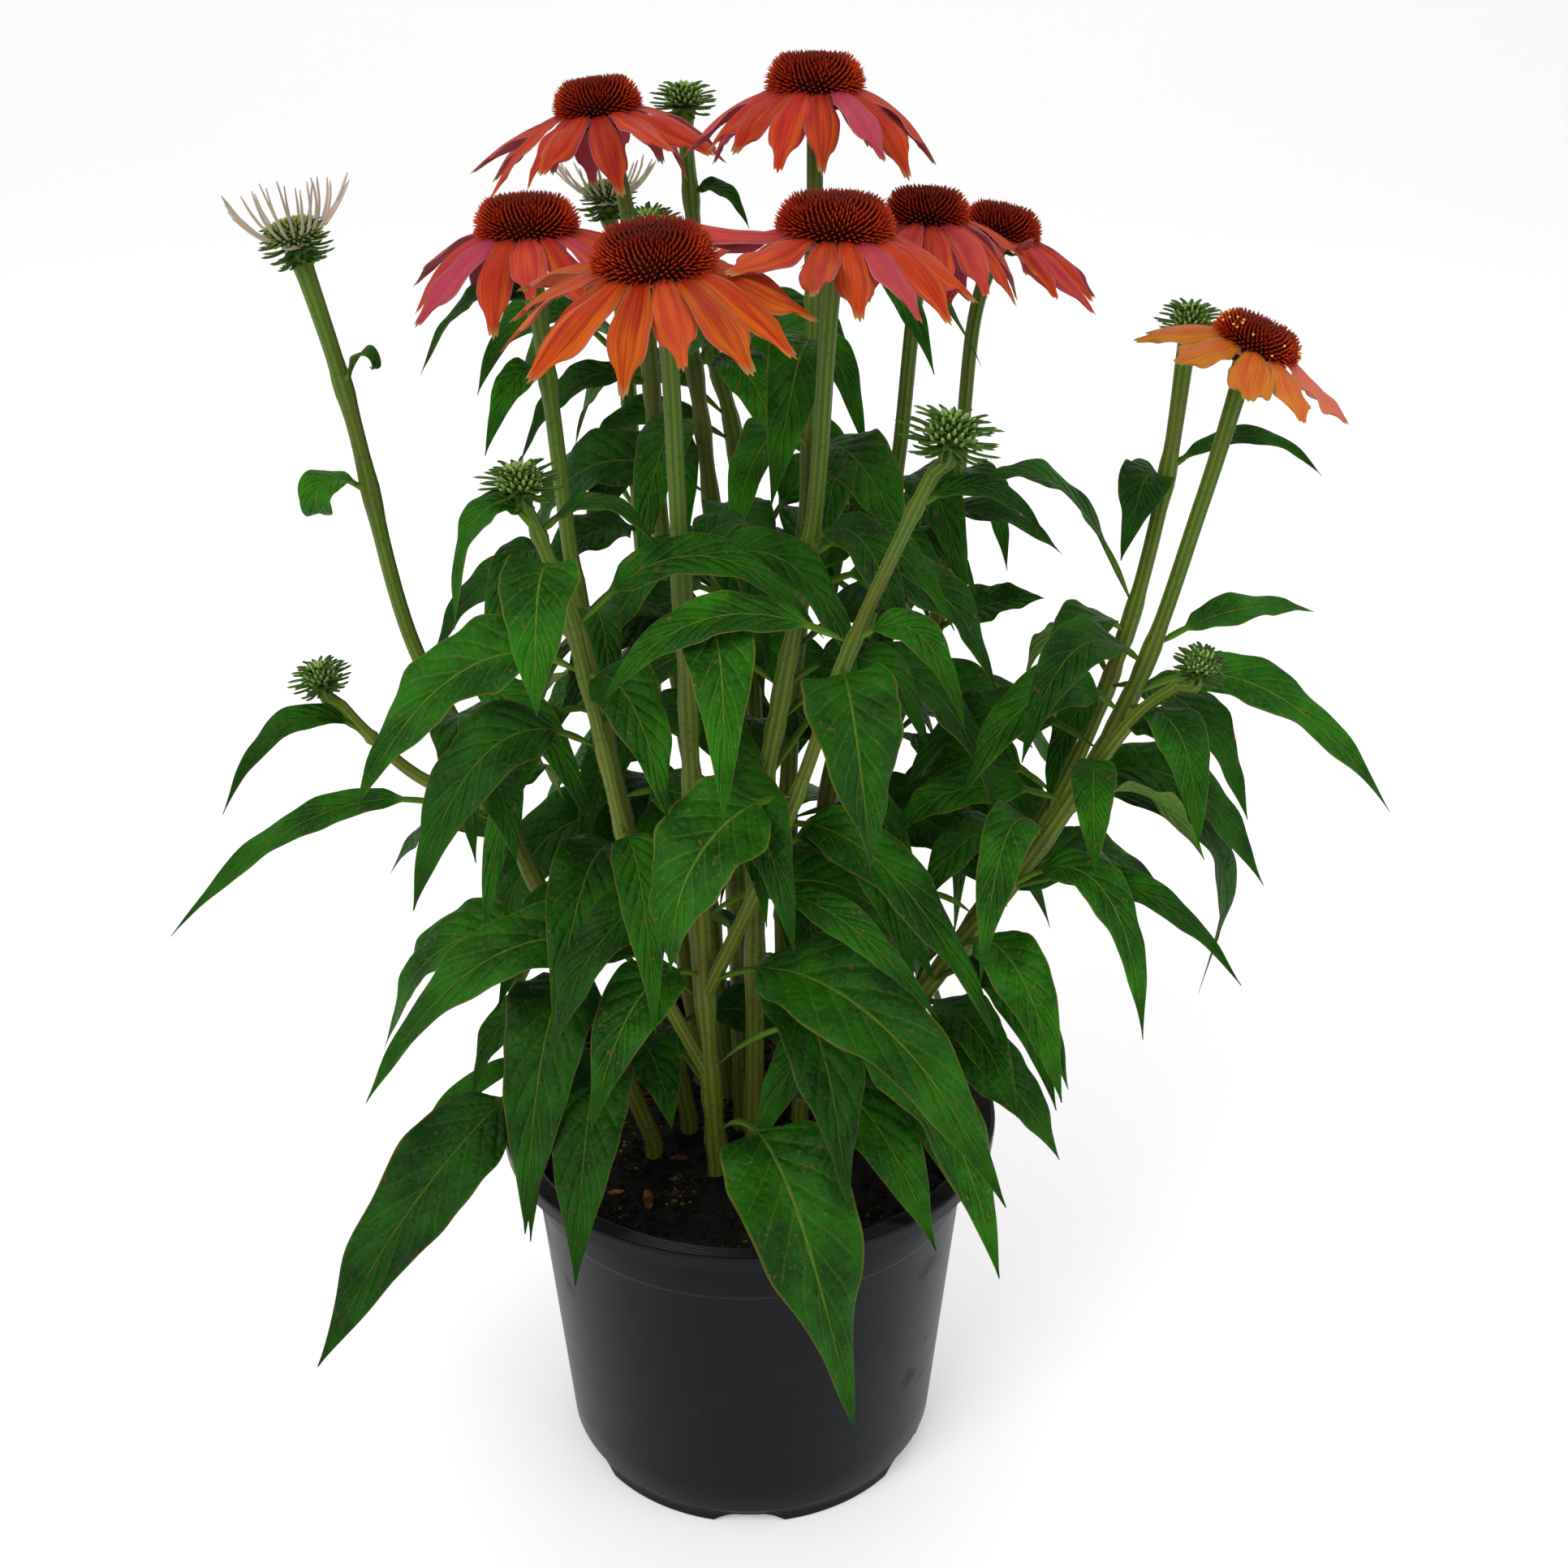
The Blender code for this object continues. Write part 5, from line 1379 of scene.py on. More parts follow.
def standing(foot: Vector, axis: Vector, width: float, length: float,
             spin: float = 0.0) -> Matrix:
    """Return the matrix that stands a model on a foot, along an axis, at a width and length."""
    size = Matrix.Diagonal((width, width, length, 1))
    return axis_frame(foot, axis) @ Matrix.Rotation(spin, 4, "Z") @ size


class SkinStock:
    """Grids that are modelled once, and wrapped round each leaf, petal and stem."""

    def __init__(self) -> None:
        """Start with no grids."""
        self.grids: dict[tuple[int, int], Mesh] = {}

    def grid(self, around: int, along: int) -> Mesh:
        """Return the flat grid of so many faces around and along."""
        if (around, along) not in self.grids:
            start_fresh()
            bpy.ops.mesh.primitive_grid_add(x_subdivisions=around, y_subdivisions=along, size=1)
            self.grids[around, along] = mesh_alone(bpy.context.object)
        return self.grids[around, along]

    def wrap(self, name: str, rows: np.ndarray, tone: float,
             material: Material) -> Item:
        """Lay a copy of the grid over rows of points.

        Args:
            name: The object's name.
            rows: Points by row along the skin and by column round it.
            tone: What the skin's colour differs from its neighbours', from -0.5 to 0.5.
            material: What it is made of.

        Returns:
            The object.
        """
        along, around = rows.shape[0] - 1, rows.shape[1] - 1
        mesh = self.grid(around, along).copy()
        flat = points_of(mesh)
        columns = np.rint((flat[:, 0] + 0.5) * around).astype(int)
        lines = np.rint((flat[:, 1] + 0.5) * along).astype(int)
        mesh.vertices.foreach_set("co", rows[lines, columns].ravel())
        set_numbers(mesh, "tone", np.full(len(mesh.vertices), tone))
        mesh.materials.append(material)
        return new_object(name, mesh)


SKINS = SkinStock()


def smooth_step(x: float | np.ndarray, low: float, high: float) -> float | np.ndarray:
    """Return 0 below one value and 1 above another, with a smooth step between."""
    share = np.clip((x - low) / (high - low), 0, 1)
    return share * share * (3 - 2 * share)


def rod_rows(points: Sequence[Vector], radii: Sequence[float], around: int, ridges: int = 0,
             depth: float = 0.0) -> np.ndarray:
    """Lay rings of points round a centreline.

    Args:
        points: The centreline.
        radii: The radius at each point. The first and last may be 0, to close the ends.
        around: How many faces go round.
        ridges: How many ridges run along it.
        depth: How deep the furrows are, as a share of the radius.

    Returns:
        The rows of points.
    """
    turns = np.linspace(0, math.tau, around + 1)
    swell = 1 + depth * np.cos(ridges * turns)
    rows = []
    for i, (point, radius) in enumerate(zip(points, radii)):
        tangent = points[min(i + 1, len(points) - 1)] - points[max(i - 1, 0)]
        side = tangent.cross(Vector((0, 1, 0))).normalized()
        other = side.cross(tangent).normalized()
        ring = np.outer(np.cos(turns), other) + np.outer(np.sin(turns), side)
        ring[-1] = ring[0]
        rows.append(np.array(point) + radius * ring * swell[:, None])
    return np.array(rows)


def wall_radius(height: float) -> float:
    """Return the outer radius of the pot's wall at a height."""
    share = (height - FOOT_HEIGHT) / (SHOULDER_HEIGHT - FOOT_HEIGHT)
    return WALL_FOOT_RADIUS + share * (WALL_TOP_RADIUS - WALL_FOOT_RADIUS)


@dataclass
class Pot:
    """The nursery pot: floor, wall, shoulder and a ridged lip, with drain notches."""

    sides: int = 128
    ridge_height: float = 0.00035
    plastic: PlasticFinish = field(default_factory=PlasticFinish)

    def profile(self) -> list[tuple[float, float]]:
        """Return the rings from the middle of the floor up, over the lip and down again."""
        lip_bottom = RIM_HEIGHT - LIP_DEPTH
        inner_lip = SHOULDER_RADIUS - WALL / 2
        rings = [(0, FLOOR), (0.02, FLOOR), (0.05, FLOOR), (FOOT_RADIUS - WALL, FLOOR)]
        rings += [(wall_radius(z) - WALL, z)
                  for z in (FOOT_HEIGHT + WALL, 0.05, 0.09, SHOULDER_HEIGHT)]
        rings += [(inner_lip - 0.0004, lip_bottom - 0.004), (inner_lip, lip_bottom),
                  (0.0862, 0.1432), (0.0876, 0.1446)]
        rings += self.lip_ridges()
        rings += [(RIM_RADIUS - 0.0003, RIM_HEIGHT - 0.0002), (RIM_RADIUS, RIM_HEIGHT - 0.0008),
                  (RIM_RADIUS, RIM_HEIGHT - 0.0020), (RIM_RADIUS - 0.0003, RIM_HEIGHT - 0.0045),
                  (RIM_RADIUS - 0.0004, lip_bottom + 0.0003), (RIM_RADIUS - 0.0010, lip_bottom),
                  (RIM_RADIUS - 0.0040, lip_bottom), (SHOULDER_RADIUS + 0.0014, lip_bottom - 0.0004),
                  (SHOULDER_RADIUS + 0.0008, lip_bottom - 0.0016),
                  (SHOULDER_RADIUS + 0.0005, lip_bottom - 0.010),
                  (SHOULDER_RADIUS + 0.0002, SHOULDER_HEIGHT + 0.0016),
                  (SHOULDER_RADIUS, SHOULDER_HEIGHT + 0.0006),
                  (SHOULDER_RADIUS - 0.0005, SHOULDER_HEIGHT + 0.0001),
                  (WALL_TOP_RADIUS + 0.0001, SHOULDER_HEIGHT - 0.0004),
                  (WALL_TOP_RADIUS, SHOULDER_HEIGHT - 0.0012)]
        rings += [(wall_radius(z), z) for z in (0.100, 0.080, 0.060, 0.040, 0.020)]
        rings += [(WALL_FOOT_RADIUS + 0.0001, FOOT_HEIGHT + 0.0010),
                  (WALL_FOOT_RADIUS - 0.0002, FOOT_HEIGHT + 0.0002),
                  (WALL_FOOT_RADIUS - 0.0010, FOOT_HEIGHT - 0.0006),
                  (FOOT_RADIUS + 0.0004, FOOT_HEIGHT - 0.0016), (FOOT_RADIUS, FOOT_HEIGHT - 0.0024),
                  (FOOT_RADIUS, 0.0030), (FOOT_RADIUS, 0.0006), (FOOT_RADIUS - 0.0006, 0.0),
                  (FOOT_RADIUS - 0.004, 0.0), (0.045, 0.0008), (0.02, 0.0008), (0, 0.0008)]
        return rings

    def lip_ridges(self) -> list[tuple[float, float]]:
        """Return the rings of the lip's top, which slopes inwards in fine ridges."""
        rings = []
        first, last, count = 0.0884, RIM_RADIUS - 0.0008, 21
        for k in range(count):
            share = k / (count - 1)
            radius = first + share * (last - first)
            slope = RIM_HEIGHT - 0.0012 + 0.0010 * share
            rings.append((radius, slope + (self.ridge_height if k % 4 == 2 else 0)))
        return rings

    def notch_cutters(self) -> list[Item]:
        """Model one rounded block and copy it to where each drain notch goes."""
        start_fresh()
        bpy.ops.mesh.primitive_cube_add(size=1)
        with editing() as model:
            bpy.ops.transform.resize(value=(DRAIN_DEPTH, DRAIN_WIDTH, 2 * DRAIN_HEIGHT))
            bpy.ops.transform.translate(value=(FOOT_RADIUS - DRAIN_DEPTH / 4, 0, 0))
        for vertex in model.data.vertices:
            vertex.co.y *= 0.82 if vertex.co.z > 0 else 2.1
        bevel(model, lambda a, b: a.z > 0 and b.z > 0 and abs(a.y - b.y) < 1e-5,
              DRAIN_HEIGHT * 0.7, 6)
        cutters = []
        for k in range(DRAIN_COUNT):
            mesh = model.data.copy()
            mesh.transform(Matrix.Rotation(math.radians(270 + 360 * k / DRAIN_COUNT), 4, "Z"))
            cutters.append(new_object(f"notch_{k}", mesh))
        bpy.data.objects.remove(model, do_unlink=True)
        return cutters

    def build(self) -> Item:
        """Turn the pot, cut its notches and dress it."""
        pot = turned("nursery_pot", self.profile(), self.sides)
        for cutter in self.notch_cutters():
            use_only(pot)
            modifier = pot.modifiers.new("notch", "BOOLEAN")
            modifier.operation = "DIFFERENCE"
            modifier.object = cutter
            bpy.ops.object.modifier_apply(modifier="notch")
            bpy.data.objects.remove(cutter, do_unlink=True)
        pot.data.materials.clear()
        pot.data.materials.append(self.plastic.material())
        shade_round(pot, 38)
        declare(pot, "pot")
        return pot


@dataclass
class Soil:
    """Potting mix with a rough top, crumbs, moss and a few bits of bark."""

    sides: int = 120
    rings: int = 46
    crumbs: int = 1500
    moss_specks: int = 620
    chips: int = 16

    def height(self, x: float, y: float) -> float:
        """Return the height of the soil's rough top."""
        place = Vector((x, y, 0))
        lumps = 0.0016 * noise.noise(place * 60) + 0.0010 * noise.noise(place * 170)
        return SOIL_TOP + lumps + 0.0005 * noise.noise(place * 420)

    def radius(self, height: float) -> float:
        """Return the radius of the soil against the pot's wall at a height."""
        return wall_radius(height) - WALL - 2 * GAP

    def body(self) -> Item:
        """Turn the soil's body and roughen its top."""
        edge = self.radius(SHOULDER_HEIGHT)
        rings = [(0, FLOOR + GAP), (FOOT_RADIUS - WALL - 3 * GAP, FLOOR + GAP),
                 (self.radius(FOOT_HEIGHT + WALL), FOOT_HEIGHT + WALL), (edge, SHOULDER_HEIGHT)]
        rings += [(edge * share, SOIL_TOP) for share in np.linspace(1, 0, self.rings)]
        body = turned("soil_body", rings, self.sides)
        centre_out = edge * 0.97

        def rough(spot: Vector) -> Vector:
            """Roughen the top, but not where it meets the wall."""
            if spot.z < SOIL_TOP - 0.001:
                return spot
            share = min(1.0, (edge - math.hypot(spot.x, spot.y)) / (edge - centre_out))
            rise = self.height(spot.x, spot.y) - SOIL_TOP
            return Vector((spot.x, spot.y, SOIL_TOP + rise * share - 0.0015 * (1 - share)))

        move_points(body.data, rough)
        body.data.materials.append(SOIL.material())
        body.data.shade_smooth()
        return body

    def lump(self, seed: int, roughness: float, detail: int = 1) -> Mesh:
        """Model one crumb: a small ball pushed out of round."""
        start_fresh()
        bpy.ops.mesh.primitive_ico_sphere_add(subdivisions=detail, radius=1)
        with editing() as item:
            bpy.ops.transform.resize(value=(1.0, 0.8, 0.62))
            bpy.ops.transform.vertex_random(offset=roughness, seed=seed)
        return mesh_alone(item)

    def spread(self, count: int, small: float, large: float, seed: str,
               patchy: float = 0.0) -> list[Matrix]:
        """Find places for bits that lie on the soil.

        Args:
            count: How many there are.
            small: The smallest bit's radius.
            large: The largest bit's radius.
            seed: What the places are drawn from.
            patchy: How much they keep to patches, from 0 to 1.

        Returns:
            A matrix for each bit.
        """
        draw = random.Random(seed)
        places = []
        edge = self.radius(SHOULDER_HEIGHT) - large
        while len(places) < count:
            radius = edge * math.sqrt(draw.random())
            x, y, _ = radius * level(draw.uniform(0, 360))
            bare = patchy * 0.5 - 0.3 * (1 - patchy) - 0.2
            if patchy > 0 and noise.noise(Vector((x, y, 3)) * 55) < bare:
                continue
            size = small + (large - small) * draw.random() ** 2.5
            turn = Matrix.Rotation(draw.uniform(0, 6.28), 4, "Z")
            tip = Matrix.Rotation(draw.uniform(-0.5, 0.5), 4, "X")
            spot = Matrix.Translation((x, y, self.height(x, y) + size * 0.2))
            places.append(spot @ turn @ tip @ Matrix.Scale(size, 4))
        return places

    def build(self) -> Item:
        """Build the soil with all that lies on it."""
        bits = [self.body()]
        soil = bits[0].data.materials[0]
        for k in range(3):
            crumbs = self.spread(self.crumbs // 3, 0.0005, 0.0022, f"crumbs {k}")
            bits.append(scatter(f"crumbs_{k}", self.lump(k, 0.16), crumbs, soil))
        moss = self.spread(self.moss_specks, 0.0004, 0.0013, "moss", 0.8)
        bits.append(scatter("moss", self.lump(9, 0.3), moss, MOSS.material()))
        long = Matrix.Diagonal((2.0, 0.8, 0.5, 1))
        chips = [place @ long for place in self.spread(self.chips, 0.0012, 0.0036, "bark")]
        bits.append(scatter("bark", self.lump(5, 0.2, 2), chips, BARK.material()))
        ground = join("soil_with_crumbs", bits, 0)
        declare(ground, "soil")
        return ground


def round_rows(sections: Sequence[Section], radii: Sequence[float], around: int) -> np.ndarray:
    """Lay a ring of points round each section, which starts on its left and goes over the top."""
    turns = np.linspace(0, math.tau, around + 1)
    across = -np.cos(turns)
    above = np.sin(turns)
    above[-1] = above[0] = 0
    return np.array([np.array(row.centre) + radius * (np.outer(across, row.side)
                                                      + np.outer(above, row.normal))
                     for row, radius in zip(sections, radii)])


def flat_rows(sections: Sequence[Section], around: int, rise: np.ndarray,
              back: np.ndarray | None = None, rib: float = 0.0) -> np.ndarray:
    """Lay a thin closed blade over sections.

    Args:
        sections: The sections, from the blade's root to its tip.
        around: How many faces go round, over the upper face and back under the lower.
        rise: How far each point is lifted off the flat, by section and by column.
        back: How far each point is drawn back towards the root, likewise.
        rib: How far the midrib stands out of the lower face.

    Returns:
        The rows of points.
    """
    sideways, face = skin_columns(around)
    edge = np.abs(sideways) < 0.999
    last = len(sections) - 1
    rows = []
    for j, row in enumerate(sections):
        ends = min(1.0, 8 * j / last, 8 * (last - j) / last)
        thick = face * row.thickness / 2 * edge * ends
        thick -= (face < 0) * (np.abs(sideways) < 0.05) * rib * (1 - j / last) * ends
        ahead = sections[min(j + 1, last)].centre - sections[max(j - 1, 0)].centre
        lift = rise[j] + thick
        points = (np.array(row.centre) + np.outer(row.half * sideways, row.side)
                  + np.outer(lift, row.normal))
        if back is not None:
            points -= np.outer(back[j], ahead.normalized())
        rows.append(points)
    return np.array(rows)


def skin_columns(around: int) -> tuple[np.ndarray, np.ndarray]:
    """Return each column's place across a blade, from -1 to 1, and 1 above or -1 below."""
    u = np.linspace(0, 1, around + 1)
    sideways = np.sin(np.where(u <= 0.5, 4 * u - 1, 3 - 4 * u) * math.pi / 2)
    return sideways, np.where(u <= 0.5, 1.0, -1.0)


def swept(sections: Sequence[Section], matrix: Matrix) -> list[Section]:
    """Return sections moved by a matrix that turns and shifts them."""
    turn = matrix.to_3x3()
    return [replace(row, centre=matrix @ row.centre, side=turn @ row.side,
                    normal=turn @ row.normal) for row in sections]


@dataclass
class LeafShape:
    """A leaf: a round petiole that opens into a folded, wavy blade."""

    leaf: Leaf
    around: int = 20
    along: int = 46
    petiole_radius: float = 0.0012
    blade_thickness: float = 0.0005
    waviness: float = 0.075
    pucker: float = 0.012
    rib: float = 0.0005

    def rows(self) -> np.ndarray:
        """Return the rows of points for its skin."""
        leaf = self.leaf
        draw = random.Random(f"{leaf.stem} {leaf.at} {leaf.azimuth:.1f}")
        phases = [draw.uniform(0, math.tau) for _ in range(5)]
        twist = math.radians(draw.uniform(-22, 22))
        hook = draw.uniform(-0.10, 0.24) * leaf.width
        curl = CURLED_LEAVES.get((leaf.stem, leaf.at), draw.uniform(-6, 12))
        path = leaf_path(leaf)
        sideways, _ = skin_columns(self.around)
        sections, rise, radii, grown = [], [], [], []
        for j in range(self.along + 1):
            v = j / self.along
            open_share = max(0.0, (v - PETIOLE_SHARE) / (1 - PETIOLE_SHARE))
            u = leaf.petiole * min(1.0, v / PETIOLE_SHARE) + (1 - leaf.petiole) * open_share
            section = self.bent(leaf_section(leaf, path, min(u, 0.9999)), twist * open_share,
                                hook * float(smooth_step(open_share, 0.5, 1.0)) ** 1.5)
            ripple = 1 + 0.035 * math.sin(3.7 * math.pi * open_share + phases[0])
            ripple += 0.014 * math.sin(13 * math.pi * open_share + phases[4])
            half = leaf.width / 2 * blade_outline(open_share) * ripple if open_share < 1 else 0.0002
            half = max(half, 0.0002)
            sections.append(replace(section, half=half, thickness=self.blade_thickness))
            bend = LEAF_FOLD * half * (1.6 * np.abs(sideways) - 0.6 * sideways ** 2)
            waves = np.where(sideways < 0, np.sin(math.tau * 2.6 * open_share + phases[1]),
                             np.sin(math.tau * 2.9 * open_share + phases[2]))
            fine = np.sin(math.tau * 7 * open_share + phases[3] + 2 * sideways)
            waves = waves + 0.18 * fine
            course = 10 * v - VEIN_SLANT * np.abs(sideways) ** 0.8
            between = 4 * np.abs(sideways) * (1 - np.abs(sideways)) * min(1.0, 60 * half)
            bend = bend - self.pucker * half * 2 * np.cos(math.tau * course) * between
            crest = self.waviness * leaf.width * min(1.0, 2 * half / leaf.width * 1.5)
            rise.append(bend + crest * waves * np.abs(sideways) ** 2.2)
            grown.append(float(smooth_step(v, PETIOLE_SHARE - 0.03, PETIOLE_SHARE + 0.07)))
            radii.append(self.petiole_radius * min(1.0, 12 * v, 6 * (1 - v) + 0.05))
        sections = self.curled(sections, math.radians(curl))
        blade = flat_rows(sections, self.around, np.array(rise), rib=self.rib)
        stalk = round_rows(sections, radii, self.around)
        share = np.array(grown)[:, None, None]
        return stalk * (1 - share) + blade * share

    def bent(self, section: Section, twist: float, hook: float) -> Section:
        """Return a section turned about the midrib and lowered off its line."""
        turn = Matrix.Rotation(twist, 3, section.normal.cross(section.side))
        normal = turn @ section.normal
        return replace(section, side=turn @ section.side, normal=normal,
                       centre=section.centre - hook * normal)

    def curled(self, sections: Sequence[Section], curl: float) -> list[Section]:
        """Return sections that roll down more and more past the middle of the blade."""
        rows = list(sections[:1])
        for j, (last, row) in enumerate(zip(sections, sections[1:]), 1):
            angle = -curl * float(smooth_step(j / self.along, 0.35, 1.1))
            turn = Matrix.Rotation(angle, 3, row.side)
            rows.append(replace(row, normal=turn @ row.normal,
                                centre=rows[-1].centre + turn @ (row.centre - last.centre)))
        return rows

    def build(self, material: Material) -> Item:
        """Wrap its skin."""
        draw = random.Random(f"tone {self.leaf.stem} {self.leaf.azimuth:.1f}")
        return SKINS.wrap("leaf", self.rows(), draw.uniform(-0.5, 0.5), material)


@dataclass
class Bracts:
    """Rings of small pointed green leaves round the foot of a head."""

    foot: Vector
    axis: Vector
    reach: float
    rings: tuple[tuple[float, float], ...]
    count: int
    width: float
    lift: float = 0.0008
    around: int = 6
    along: int = 8

    def sections(self, azimuth: float, share: float, slope: float) -> list[Section]:
        """Return a bract's sections, at an azimuth, for a share of the reach, at a slope."""
        out = level(azimuth)
        start = 0.0022
        length = (self.reach - start) * share
        here = out * start
        rows = []
        for j in range(self.along + 1):
            v = j / self.along
            angle = math.radians(slope * (1 - 1.3 * v) + 10 * v)
            step = math.cos(angle) * out + math.sin(angle) * UP
            normal = math.cos(angle) * UP - math.sin(angle) * out
            half = self.width / 2 * (1 - v) ** 0.7 * (0.75 + 0.9 * v)
            rows.append(Section(here.copy(), out.cross(UP), normal, half, 0.0007))
            here += step * length / self.along
        return rows

    def build(self, material: Material) -> list[Item]:
        """Wrap each bract's skin."""
        draw = random.Random(f"bracts {self.foot.x:.4f} {self.foot.z:.4f}")
        place = axis_frame(self.foot - self.axis * 0.0012, self.axis)
        sideways, _ = skin_columns(self.around)
        items = []
        for order, (share, slope) in enumerate(self.rings):
            for k in range(self.count):
                azimuth = 360 * (k + 0.5 * (order % 2)) / self.count + draw.uniform(-6, 6)
                rows = self.sections(azimuth, share * draw.uniform(0.85, 1.08),
                                     slope + draw.uniform(-10, 10))
                rows = swept(rows, place @ Matrix.Translation((0, 0, self.lift * order)))
                rise = np.array([0.3 * row.half * sideways ** 2 for row in rows])
                points = flat_rows(rows, self.around, rise)
                items.append(SKINS.wrap("bract", points, draw.uniform(-0.4, 0.4), material))
        return items


@dataclass(frozen=True)
class Greens:
    """What a shoot is made of."""

    stem: Material
    leaf: Material
    bract: Material
    hair: Material


@dataclass
class Shoot:
    """All that is green on one stem from the soil: its branches, leaves and bracts."""

    root: str
    leaves: Sequence[Leaf]
    greens: Greens
    around: int = 32
    pieces: float = 14
    hairs_per_metre: float = 1300

    def centreline(self, name: str) -> tuple[list[Vector], list[float], list[float]]:
        """Lay out a stem from the soil or its parent to its head.

        Args:
            name: The stem's name.

        Returns:
            The points, the radius at each, and the share of the way up at each.
        """
        stem = STEMS[name]
        foot, axis = head_place(name)
        count = math.ceil(self.pieces * (len(stem_route(name)) - 1))
        share = BRANCH_SHARE if stem.parent else 1.0
        joints = [leaf.at for leaf in self.leaves if leaf.stem == name]
        points, radii, shares = [], [], []
        for i in range(count + 1):
            t = i / count
            spot = stem_point(name, t)
            if (spot - foot).length < NECK_LENGTH + 0.004:
                continue
            knot = sum(math.exp(-((t - at) / 0.016) ** 2) for at in joints)
            points.append(spot)
            radii.append(share * stem_radius(t) * (1 + 0.28 * min(knot, 1.0)))
            shares.append(t)
        for back in (NECK_LENGTH, NECK_LENGTH / 2, BRACT_THICKNESS / 3):
            points.append(foot - back * axis)
            radii.append(share * stem_radius(1) * (1.0 + 0.35 * (1 - back / NECK_LENGTH)))
            shares.append(1.0)
        if not stem.parent:
            points.insert(0, Vector((points[0].x, points[0].y, SOIL_TOP - 0.012)))
            radii.insert(0, radii[0])
            shares.insert(0, 0.0)
        return points, radii, shares

    def stem(self, name: str) -> Item:
        """Wrap a stem's ridged skin."""
        points, radii, _ = self.centreline(name)
        start = points[0] + (points[0] - points[1]).normalized() * 0.0002
        end = points[-1] + (points[-1] - points[-2]).normalized() * 0.0002
        rows = rod_rows([start] + points + [end], [0.0] + radii + [0.0], self.around,
                        STEM_RIDGES, 0.035)
        draw = random.Random("stem tone " + name)
        return SKINS.wrap("stem", rows, draw.uniform(-0.3, 0.3), self.greens.stem)

    def fuzz(self, name: str, model: Mesh) -> Item:
        """Scatter short stiff hairs over a stem."""
        points, radii, _ = self.centreline(name)
        draw = random.Random("hairs " + name)
        places = []
        for a, b, ra, rb in zip(points, points[1:], radii, radii[1:]):
            step = b - a
            for _ in range(round(self.hairs_per_metre * step.length)):
                share = draw.random()
                side = step.cross(Vector((0, 1, 0))).normalized()
                out = Matrix.Rotation(draw.uniform(0, math.tau), 3, step.normalized()) @ side
                foot = a + share * step + out * (ra + share * (rb - ra)) * 0.96
                tilt = Vector([draw.uniform(-0.35, 0.35) for _ in range(3)])
                places.append(standing(foot, (out + tilt).normalized(), 0.00006,
                                       draw.uniform(0.0008, 0.0017)))
        return scatter("hairs", model, places, self.greens.hair)

    def head_bracts(self, name: str) -> list[Item]:
        """Build the bracts under a stem's head."""
        foot, axis = head_place(name)
        bloom = BLOOM_ON.get(name)
        if bloom is None:
            bracts = Bracts(foot, axis, BUD_ON[name].bract_reach, BUD_RINGS, 11, 0.0022, 0.0012)
        elif bloom.kind is Kind.YOUNG:
            bracts = Bracts(foot, axis, YOUNG_BRACT_REACH, YOUNG_RINGS, 13, 0.0027, 0.0013)
        else:
            reach = BLOOM_BRACT_SHARE * bloom.cone_radius
            bracts = Bracts(foot, axis, reach, BLOOM_RINGS, 9, 0.0032)
        return bracts.build(self.greens.bract)

    def build(self, hair_model: Mesh) -> Item:
        """Build and join all of it."""
        node = "shoot_" + self.root
        names = [name for name in STEMS if owner(name) == node]
        items = []
        for name in names:
            items.append(self.stem(name))
            items += self.head_bracts(name)
        items += [LeafShape(leaf).build(self.greens.leaf) for leaf in self.leaves
                  if owner(leaf.stem) == node]
        piece = join("foliage_" + self.root, items)
        fuzz = [self.fuzz(name, hair_model) for name in names]
        shade_round(piece, 70)
        piece = join("foliage_" + self.root, [piece] + fuzz, 0)
        declare(piece, node)
        return piece


@dataclass(frozen=True)
class PetalForm:
    """How the petals of one kind of bloom grow.

    The breadth is a share of the solid's, the shoulder and out lift a petal off its disc, the
    roll and hinge are in degrees, and the curl is a share of an open petal's.
    """

    breadth: float = 1.04
    shoulder: float = 0.0036
    out: float = 0.0
    roll: float = 30
    hinge: float = 0.0
    curl: float = 1.0


PETAL_FORMS = {
    Kind.OPEN: PetalForm(),
    Kind.RIPE: PetalForm(breadth=1.25, roll=14),
    Kind.YOUNG: PetalForm(breadth=0.42, shoulder=0.0, out=0.0026, hinge=36, curl=0.2),
}


